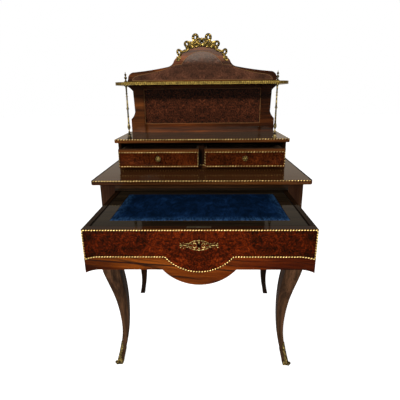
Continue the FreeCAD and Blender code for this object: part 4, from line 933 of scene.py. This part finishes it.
def rose(centre, radius, depth, turn):
    """A cast rose in polar rings, with five petals, curling ridges and a round heart.

    At share q of the radius and angle a, r = radius q (1 + 0.12 q cos 5(a + turn)); the face stands
    depth (0.42 (1 - q^2) + 0.38 ridge fold + 0.30 heart) forward and falls to its back at the rim.
    """
    petals = 5
    q = np.linspace(0.0, 1.0, 16)[:, None]
    a = round_angles(40)[None, :]
    r = radius * MM * np.clip(q, 0.03, 1.0) * (1 + 0.12 * np.cos(petals * (a + turn)) * q)
    fold = np.abs(np.cos((petals * (a + turn) + 7.0 * q) / 2))
    ridge = np.sin(np.clip((q - 0.3) / 0.7, 0, 1) * np.pi * 1.5) ** 2
    height = depth * MM * (0.42 * (1 - q ** 2) + 0.38 * ridge * fold + 0.30 * np.exp(-((q / 0.20) ** 2)))
    height = height * np.clip((1 - q) / 0.12, 0.0, 1.0) ** 0.5
    rim = r[-1:]
    back = np.full_like(rim, 0.8 * MM)
    across = np.concatenate([r, rim]) * np.cos(a)
    up = np.concatenate([r, rim]) * np.sin(a)
    grid = np.array(centre, float) * MM + np.stack([-across, np.concatenate([-height, back]), up], axis=2)
    relief = np.clip(0.15 + 0.95 * fold * ridge + np.exp(-((q / 0.22) ** 2)), 0, 1)
    return grid, np.concatenate([relief, np.zeros_like(a)]), False


def berry(centre, radius):
    """A small round boss, a sphere in rings: (sin q cos a, sin q sin a, cos q)."""
    q = np.linspace(0.08, np.pi - 0.08, 9)[:, None]
    a = round_angles(12)[None, :]
    ball = np.stack([np.sin(q) * np.cos(a), np.sin(q) * np.sin(a), np.cos(q) * np.ones_like(a)], axis=2)
    return np.array(centre, float) * MM + ball * radius * MM, 0.8, False


# Bars of the escutcheon's upper right quarter, in millimetres from its middle: the points that
# each runs through, its radius at the ends and at its thickest, and how bright it is rubbed.
ESCUTCHEON_BARS = [
    ([[6.6, 1.4], [8.6, 5.8], [12.6, 6.2], [14.2, 3.0], [11.2, 1.8]], 0.5, 1.1, 1.0),
    ([[15.2, 1.2], [18.5, 3.6], [22.0, 2.8], [25.5, 0.6]], 0.35, 0.65, 0.62),
    ([[17.0, 6.4], [20.0, 4.9], [23.0, 5.0]], 0.35, 0.6, 0.7),
    ([[26.5, 1.6], [29.0, 4.4], [33.0, 4.4], [37.0, 6.6]], 0.35, 0.6, 0.62),
    ([[40.0, 0.4], [42.0, 2.6], [44.2, 4.8]], 0.3, 0.5, 0.7),
]
ESCUTCHEON_BUDS = [(27.8, 5.4, 0.8), (37.9, 7.1, 0.95), (44.9, 5.4, 1.0)]


def escutcheon_mount():
    """Openwork keyhole mount: thin oval frame, C-scrolls at the keyhole, arms with curls and buds."""
    low, high = corners("drawer_escutcheon")
    centre = np.array([0.0, high[1], (low[2] + high[2]) / 2])
    bar_depth = 0.8
    bud_depth = 0.9
    oval_half = (26.5, 12.4)
    oval_radius = 0.58 * MM
    half = []
    for sign in (1.0, -1.0):
        for points, thin, thick, relief in ESCUTCHEON_BARS:
            path = smooth_curve(on_face(np.array(points) * [1.0, sign], -bar_depth))
            half.append(tube(path, tapering(len(path), thin, thick), relief=relief))
        for x, z, radius in ESCUTCHEON_BUDS:
            half.append(berry((x, -bud_depth, z * sign), radius))
    stem = smooth_curve(on_face([[26, 0], [33, 0], [40, 0], [46, 0]], -bar_depth))
    half.append(tube(stem, tapering(len(stem), 0.35, 0.6, 0.3), relief=0.6))
    half.append(leaf((30.8, -bud_depth, 0.0), (38.0, -bud_depth, 0.0), 1.5, 0.9, 1.0))
    half.append(leaf((40.5, -bud_depth, 0.0), (46.8, -bud_depth, 0.0), 2.1, 0.9, 1.0))
    whole = half + mirrored_grids(half)
    a = round_angles(120)
    section = round_angles(8)
    oval = on_face(np.stack([oval_half[0] * np.cos(a), oval_half[1] * np.sin(a)], axis=1), -bud_depth)
    r = oval_radius * (1 + 0.10 * np.cos(16 * a))[:, None]
    grid = carried(oval * MM, FORWARD, r * np.cos(section), r * np.sin(section), True)
    whole.append((grid, 0.76 + 0.20 * np.cos(7 * a + 1.0)[:, None], True))
    for sign in (1.0, -1.0):
        whole.append(berry((0.0, -0.5, 13.2 * sign), 1.9))
        whole.append(leaf((0.0, -1.0, 5.2 * sign), (0.0, -1.0, 12.0 * sign), 2.4, 0.9, 1.0))
    whole.append(keyhole_boss())
    piece = surface("escutcheon_openwork", shifted(whole, centre), gilt_mount, "main_drawer")
    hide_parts("drawer_escutcheon")


def keyhole_boss():
    """Raised plate round the keyhole: rings from the keyhole's outline out to an oval rim.

    The keyhole is a circle whose lower part, where sin a < -0.55, drops into a slot. The rings get
    relief too low for the gilt, so the plate takes the near-black hollow colour: painted shade in and
    round the keyhole.
    """
    a = round_angles(48)
    bore = 2.4
    slot_half = 1.2
    slot_foot = 4.8
    rim_half = (4.9, 5.9)
    rim_drop = 0.4
    in_slot = np.sin(a) < -0.55
    inner_x = bore * np.cos(a)
    inner_x = np.where(in_slot, np.clip(inner_x, -slot_half, slot_half), inner_x)
    inner_z = np.where(in_slot, -slot_foot, bore * np.sin(a))
    inner = np.stack([inner_x, inner_z], axis=1)
    outer = np.stack([rim_half[0] * np.cos(a), rim_half[1] * np.sin(a) - rim_drop], axis=1)
    section = [(0.0, 0.2), (0.0, 1.5), (0.35, 2.2), (0.8, 1.6), (1.0, 0.2)]
    rows = [on_face(inner + (outer - inner) * share, -depth) * MM for share, depth in section]
    # Low relief all round: the plate is painted near-black, painted shade of the keyhole.
    keyhole_painted_shade = np.array([0.0, 0.0, 0.25, 0.2, 0.1])
    return np.stack(rows, axis=1), keyhole_painted_shade, True


def drawer_knob(side):
    """Cast knob: a turned foot and neck, and a low head chased as an open rose.

    Ring k has the radius and the depth of the turned profile, in shares of the foot's radius r;
    over the head the depth gains r sin(pi q) (0.10 cos(6 a) - 0.06), where q runs from the rim
    to the heart.
    """
    node = "small_knob_" + side
    low, high = corners(node)
    r = (high[0] - low[0]) / 2
    slimmed = 0.92
    profile = np.array([(0.02, 0.0), (0.6, 0.0), (0.6, 0.12), (0.34, 0.26), (0.34, 0.55), (0.9, 0.8),
                        (1.0, 1.0), (0.99, 1.16), (0.88, 1.26), (0.72, 1.22), (0.5, 1.26), (0.3, 1.36),
                        (0.15, 1.41), (0.02, 1.42)])
    last = len(profile) - 1
    steps = np.linspace(0, last, 4 * last + 1)
    radius = slimmed * np.interp(steps, np.arange(last + 1), profile[:, 0])[:, None]
    depth = np.interp(steps, np.arange(last + 1), profile[:, 1])[:, None]
    a = round_angles(48)[None, :]
    head = np.clip(2 * steps / last - 1, 0, 1)[:, None]
    petals = np.cos(6 * a) * np.sin(np.pi * head)
    depth = depth + 0.10 * petals - 0.06 * np.sin(np.pi * head)
    centre = np.array([(low[0] + high[0]) / 2, high[1], (low[2] + high[2]) / 2])
    grid = centre + r * np.stack([radius * np.cos(a), -depth, radius * np.sin(a)], axis=2)
    furrow = np.exp(-(((head - 0.60) / 0.13) ** 2))
    relief = np.where(head > 0, 0.75 + 0.35 * petals - 0.85 * furrow, 0.25)
    relief = relief * np.clip((head - 0.20) / 0.30, 0.10, 1)
    piece = surface("small_knob_rose_" + side, [(grid, relief, False)], gilt_knob, "small_drawer_" + side)
    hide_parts(node)


# ------------------------------------------------------------------ crest
def ribbon(points, half_width, faces):
    """A cast ribbon: its section is (w cos a, t sin a) squared off, with a furrow in the middle.

    `points` are in millimetres from the arch's top, `half_width` is w at each of them and `faces`
    is how the ribbon looks there; w closes in over the first and last 6 % of the length.
    """
    thickness = 1.4
    path = smooth_curve(points, 1.2)
    t = np.linspace(0, 1, len(points))
    fine = np.linspace(0, 1, len(path))
    faces = np.array(faces, float)
    faces = unit(np.stack([np.interp(fine, t, faces[:, k]) for k in range(3)], axis=1))
    a = round_angles(12)
    ends = np.clip(np.minimum(fine, 1 - fine) / 0.06, 0.35, 1)
    width = np.interp(fine, t, half_width) * ends
    across = width[:, None] * MM * np.sign(np.cos(a)) * np.abs(np.cos(a)) ** 0.7
    furrow = 1 - 0.55 * np.exp(-((np.cos(a) / 0.45) ** 2)) * (np.sin(a) > 0)
    height = thickness * MM * np.sign(np.sin(a)) * np.abs(np.sin(a)) ** 0.6 * furrow
    grid = carried(path, faces, across, np.broadcast_to(height, across.shape), False)
    return grid, np.clip(0.25 + 0.75 * np.abs(np.cos(a)), 0, 1), False


def ribbon_loop(x, rise, half_width, half_height, lean, eye, depth=4.5):
    """A pleated ribbon bent into a loop round an eye, in millimetres from the arch's top.

    At angle a and share v across it, the ribbon's place is half size (eye + (1 - eye) v) and its
    face stands depth (0.5 + 0.5 sin(pi v)) + 0.8 cos(7 a + 2.4 v) forward.
    """
    count = 98
    a = round_angles(count)[:, None]
    v = np.linspace(0, 1, 11)[None, :]
    across = half_width * (eye[0] + (1 - eye[0]) * v) * np.cos(a)
    up = half_height * (eye[1] + (1 - eye[1]) * v) * np.sin(a)
    pleat = np.cos(7 * a + 2.4 * v)
    face = depth * (0.5 + 0.5 * np.sin(np.pi * v)) + 0.8 * pleat
    across = np.concatenate([across, across[:, -1:], across[:, :1]], axis=1)
    up = np.concatenate([up, up[:, -1:], up[:, :1]], axis=1)
    forward = np.concatenate([face, np.full((count, 2), 1.0)], axis=1)
    turn = math.radians(lean)
    grid = np.stack([x + across * math.cos(turn) + up * math.sin(turn), -forward,
                     rise - across * math.sin(turn) + up * math.cos(turn)], axis=2) * MM
    relief = (0.5 + 0.5 * pleat) * (0.35 + 0.65 * np.sin(np.pi * v))
    relief = np.concatenate([relief, np.zeros((count, 2))], axis=1)
    return grid, relief, True


def garland_bed():
    """Leaf band under the flowers: it follows the arch, with a lobed edge and chased leaves.

    At angle t and share v across it, its radius is that of the arch + 3 + (6 + 1.4 cos(2 pi s / 9)) v
    mm, where s is the length of arc.
    """
    arch_radius = 148.6
    lobe_pitch = 9.0
    radians = np.radians(np.linspace(-25, 25, 220))[:, None]
    s = arch_radius * radians
    v = np.linspace(-1, 1, 13)[None, :]
    half = 6.0 + 1.4 * np.cos(2 * np.pi * s / lobe_pitch)
    around = arch_radius + 3.0 + half * v
    around = np.concatenate([around, around[:, -1:], around[:, :1]], axis=1)
    leaves = stamped_relief(s, v, lobe_pitch)
    back = np.zeros((len(s), 2))
    forward = np.concatenate([1.2 + 2.6 * leaves, back], axis=1)
    grid = np.stack([around * np.sin(radians), -forward, around * np.cos(radians) - arch_radius], axis=2)
    return grid * MM, np.concatenate([leaves * 0.8, back], axis=1), False


# The right half of the crest, in millimetres from the arch's top.
# Loops: x, rise, half width, half height, lean and the share of the eye.
CREST_LOOPS = [
    (26.0, 31.5, 14.2, 15.4, -8.0, (0.20, 0.36)),
    (60.0, 8.0, 12.5, 12.5, 20.0, (0.24, 0.34)),
    (91.5, -22.5, 11.0, 14.0, 25.0, (0.22, 0.36)),
]
# Tails: points, half widths and the way the ribbon faces.
CREST_TAILS = [
    ([(1, -7, 2), (9, -8, 8), (16, -7, 14), (21, -6, 21)], [4.6, 4.8, 4.6, 4.2],
     [(0.3, -1, 0.2), (0, -1, 0.4), (-0.4, -1, 0.2), (-0.5, -1, 0)]),
    ([(30, -6, 21), (36, -7, 14), (44, -7, 9), (53, -6, 6)], [4.0, 4.8, 4.8, 4.2],
     [(0, -1, 0.5), (0.3, -1, 0.2), (0.2, -1, -0.3), (0.4, -1, 0.4)]),
    ([(59, -5, -3), (57, -6, -9), (61, -7, -15), (67, -6, -18)], [4.2, 4.6, 4.8, 4.4],
     [(-0.5, -1, 0), (0.3, -1, 0.3), (0.6, -1, 0), (0.2, -1, 0.5)]),
    ([(65, -6, -13), (72, -7, -18), (79, -7, -20), (86, -6, -17)], [4.2, 4.6, 4.6, 4.0],
     [(0.3, -1, 0.4), (-0.2, -1, 0.5), (0.1, -1, 0.6), (0.4, -1, 0.3)]),
    ([(94, -5, -34), (91, -6, -41), (93, -6, -48), (99, -5, -52), (104, -5, -49)],
     [4.0, 4.4, 4.4, 4.0, 3.0],
     [(0.5, -1, 0), (0.4, -1, 0.4), (0, -1, 0.5), (-0.4, -1, 0.3), (-0.6, -1, 0)]),
    ([(101, -5, -38), (99, -6, -44), (103, -5, -49)], [3.2, 3.4, 2.6],
     [(0.5, -1, 0), (0.2, -1, 0.4), (-0.4, -1, 0.3)]),
]
# Roses: centre, radius, depth and turn.
CREST_ROSES = [
    ((17.0, -5.0, 13.0), 10.0, 6.0, 0.4), ((34.0, -5.0, 9.5), 10.5, 6.0, 1.1),
    ((46.0, -4.5, 0.0), 8.5, 5.0, 0.2), ((8.0, -5.5, 24.0), 6.0, 4.5, 0.7),
    ((25.0, -6.0, 1.5), 7.0, 4.5, 0.9),
]
# Leaves: root, tip, half width and how far they arch forward.
CREST_LEAVES = [
    ((42, -5, 10), (54, -6, 17), 4.6, 2.0), ((36, -5, 2), (40, -6, -9), 4.4, 1.5),
    ((22, -5, 2), (20, -6, -6), 4.2, 1.5), ((24, -5, 18), (38, -6, 24), 4.4, 1.5),
]
CREST_BERRIES = [((55, -6.0, 2), 2.6), ((13, -6.0, 26), 2.4)]


def crest_mount():
    """Gilt crest: ribbon loops and tails along the arch, roses and leaves tied in the middle."""
    origin = np.array([0.0, corners("crest_ribbon")[1][1], corners("back_panel")[1][2]])
    half = [ribbon_loop(*loop) for loop in CREST_LOOPS]
    half += [ribbon(*tail) for tail in CREST_TAILS]
    half += [rose(*flower) for flower in CREST_ROSES]
    half += [leaf(root, tip, width, 1.6, arch=arch) for root, tip, width, arch in CREST_LEAVES]
    half += [berry(*fruit) for fruit in CREST_BERRIES]
    whole = half + mirrored_grids(half)
    whole.append(garland_bed())
    grid, relief, closed = ribbon_loop(0.0, 12.0, 8.5, 10.5, 0.0, (0.15, 0.15), 3.0)
    whole.append((grid, relief * 0.35, closed))
    whole.append(leaf((0, -5, 19), (0, -6, 31), 4.0, 1.4, 2.0, 1.0))
    piece = surface("crest_ribbon_and_roses", shifted(whole, origin), gilt_crest, "carcass")
    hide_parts("crest_ribbon", "crest_flowers")


# ------------------------------------------------------------------ the plain pieces
WORN = [
    (rosewood_table, ["desk_top"]),
    (rosewood_long, ["gradin_bottom", "apron_back"]),
    (rosewood_shelf, ["gallery_shelf"]),
    (rosewood_top, ["gradin_top"]),
    (rosewood_painted_shadow, ["gradin_front_rail"]),
    (rosewood_rail, ["top_rail"]),
    (rosewood_panel, ["back_panel"]),
    (rosewood_tall, ["leg_front_left", "leg_front_right"]),
    (rosewood_back, ["leg_back_left", "leg_back_right", "gradin_divider"]),
    (rosewood_post, ["gradin_side_left", "gradin_side_right", "apron_left", "apron_right"]),
    (rosewood_band, ["drawer_front"]),
    (rosewood_dull, ["drawer_side_left", "drawer_side_right"]),
    (rosewood_board, ["writing_board"]),
    (rosewood_small, ["small_front_left", "small_front_right"]),
    (burr_panel, ["back_panel_burr"]),
    (burr_pediment, ["pediment_burr"]),
    (burr_front, ["drawer_front_veneer"]),
    (burr_small, ["small_veneer_left", "small_veneer_right"]),
    (oak, ["drawer_runner_left", "drawer_runner_right", "drawer_kickers", "drawer_stops",
           "board_bearers"]),
    (oak_long, ["support_rail", "gradin_back", "drawer_back", "drawer_bottom"]),
    (oak_painted_shade, ["small_box_left", "small_box_right"]),
    (gilt_aged, ["spindle_left", "spindle_right"]),
    (dark_bronze, ["sabot_left", "sabot_right"]),
    (black_bronze, ["finials"]),
    (lock_brass, ["drawer_lock"]),
    (steel, ["lock_bolt"]),
]


def wear_finishes():
    """Gives each plain piece its finish."""
    for finish, nodes in WORN:
        for node in nodes:
            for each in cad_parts[node].material_slots:
                each.material = finish


drawer_border()
small_drawer_border("left")
small_drawer_border("right")
straight_rope("desk_top_rope", "desk_top_trim", OUT_AND_UP, 1.8 * MM, 9.4 * MM)
straight_rope("gradin_top_rope", "gradin_top_trim", OUT_AND_UP, 1.8 * MM, 10.4 * MM)
straight_rope("gradin_foot_rope", "gradin_plinth_trim", FORWARD, 1.5 * MM, 10.0 * MM, 0.3 * MM)
shelf_edge_band()
panel_stringing()
desk_top_edges()
velvet_sheet()
escutcheon_mount()
drawer_knob("left")
drawer_knob("right")
crest_mount()
wear_finishes()


# ------------------------------------------------------------------ studio
def pale_paper(name, colour, glow):
    """Backdrop paper: takes the desk's shadow, and glows for the camera only."""
    finish = Finish(name)
    path = finish.add("ShaderNodeLightPath")
    seen = finish.math("MAXIMUM", path.outputs["Is Camera Ray"], path.outputs["Is Transmission Ray"])
    finish.set(Base_Color=(*colour, 1.0), Roughness=0.9, Emission_Color=(1.0, 1.0, 1.0, 1.0),
               Emission_Strength=finish.math("MULTIPLY", seen, glow))
    finish.shader.inputs["Specular IOR Level"].default_value = 0.1
    return finish.material


def studio():
    """A pale floor that runs far back, under a sky that is white to the eye and soft as light.

    Polish and gilding see a warm white sky too, and a dim room with a high window behind whoever
    looks at the desk.
    """
    floor = bpy.data.meshes.new("floor")
    floor.from_pydata([(-9, -4, 0), (9, -4, 0), (9, 14, 0), (-9, 14, 0)], [], [(0, 1, 2, 3)])
    floor.materials.append(pale_paper("floor_paper", (0.80, 0.80, 0.80), 0.90))
    ground = set_up("floor", floor)
    world = bpy.data.worlds.new("studio_sky")
    bpy.context.scene.world = world
    world.use_nodes = True
    sky = Mixture(world.node_tree)
    path = sky.add("ShaderNodeLightPath")
    direction = sky.add("ShaderNodeTexCoord").outputs["Generated"]
    parts = sky.add("ShaderNodeSeparateXYZ", None, {0: direction})
    behind = sky.level(parts.outputs[1], -0.35, -0.15, 1.0, 0.0)
    low = sky.level(parts.outputs[2], 0.082, 0.090, 1.0, 0.0)
    window = sky.blend(low, (2.9, 2.6, 2.2), (0.10, 0.09, 0.08))
    room = sky.blend(behind, (1.10, 0.95, 0.76), window)
    background = sky.nodes["Background"]
    sky.feed(background, "Color", sky.blend(path.outputs["Is Glossy Ray"], (1.0, 1.0, 1.0), room))
    seen = sky.math("MAXIMUM", path.outputs["Is Camera Ray"], path.outputs["Is Glossy Ray"])
    sky.feed(background, "Strength", sky.level(seen, 0.0, 1.0, 0.22, 1.0))


def lamp(name, place, aim, size, power):
    """A rectangular lamp of a width and a height, turned towards its aim."""
    light = bpy.data.lights.new(name, "AREA")
    light.shape = "RECTANGLE"
    light.size, light.size_y = size
    light.energy = power
    piece = set_up(name, light)
    piece.location = place
    piece.rotation_euler = (Vector(aim) - Vector(place)).to_track_quat("-Z", "Y").to_euler()


def camera():
    """Standing height, a metre off, looking down a little at the open drawer."""
    place = (0.0205, -1.1618, 0.9946)
    turned = 1.30
    tilted_down = 17.43
    rolled = -0.55
    data = bpy.data.cameras.new("camera")
    data.sensor_width = 36.0
    data.lens = 30.732
    data.clip_start = 0.02
    data.clip_end = 60.0
    eye = set_up("camera", data)
    turn = Matrix.Rotation(math.radians(turned), 4, "Z")
    tilt = Matrix.Rotation(math.radians(90 - tilted_down), 4, "X")
    roll = Matrix.Rotation(math.radians(rolled), 4, "Z")
    eye.matrix_world = Matrix.Translation(place) @ turn @ tilt @ roll
    bpy.context.scene.camera = eye


studio()
lamp("key", (-0.9, -3.9, 2.09), (0, 0, 0.8), (0.25, 0.25), 170)
lamp("soft_fill", (1.6, -2.6, 2.2), (0, 0, 0.7), (1.6, 1.6), 14)
camera()
bpy.context.scene.view_settings.view_transform = "Standard"
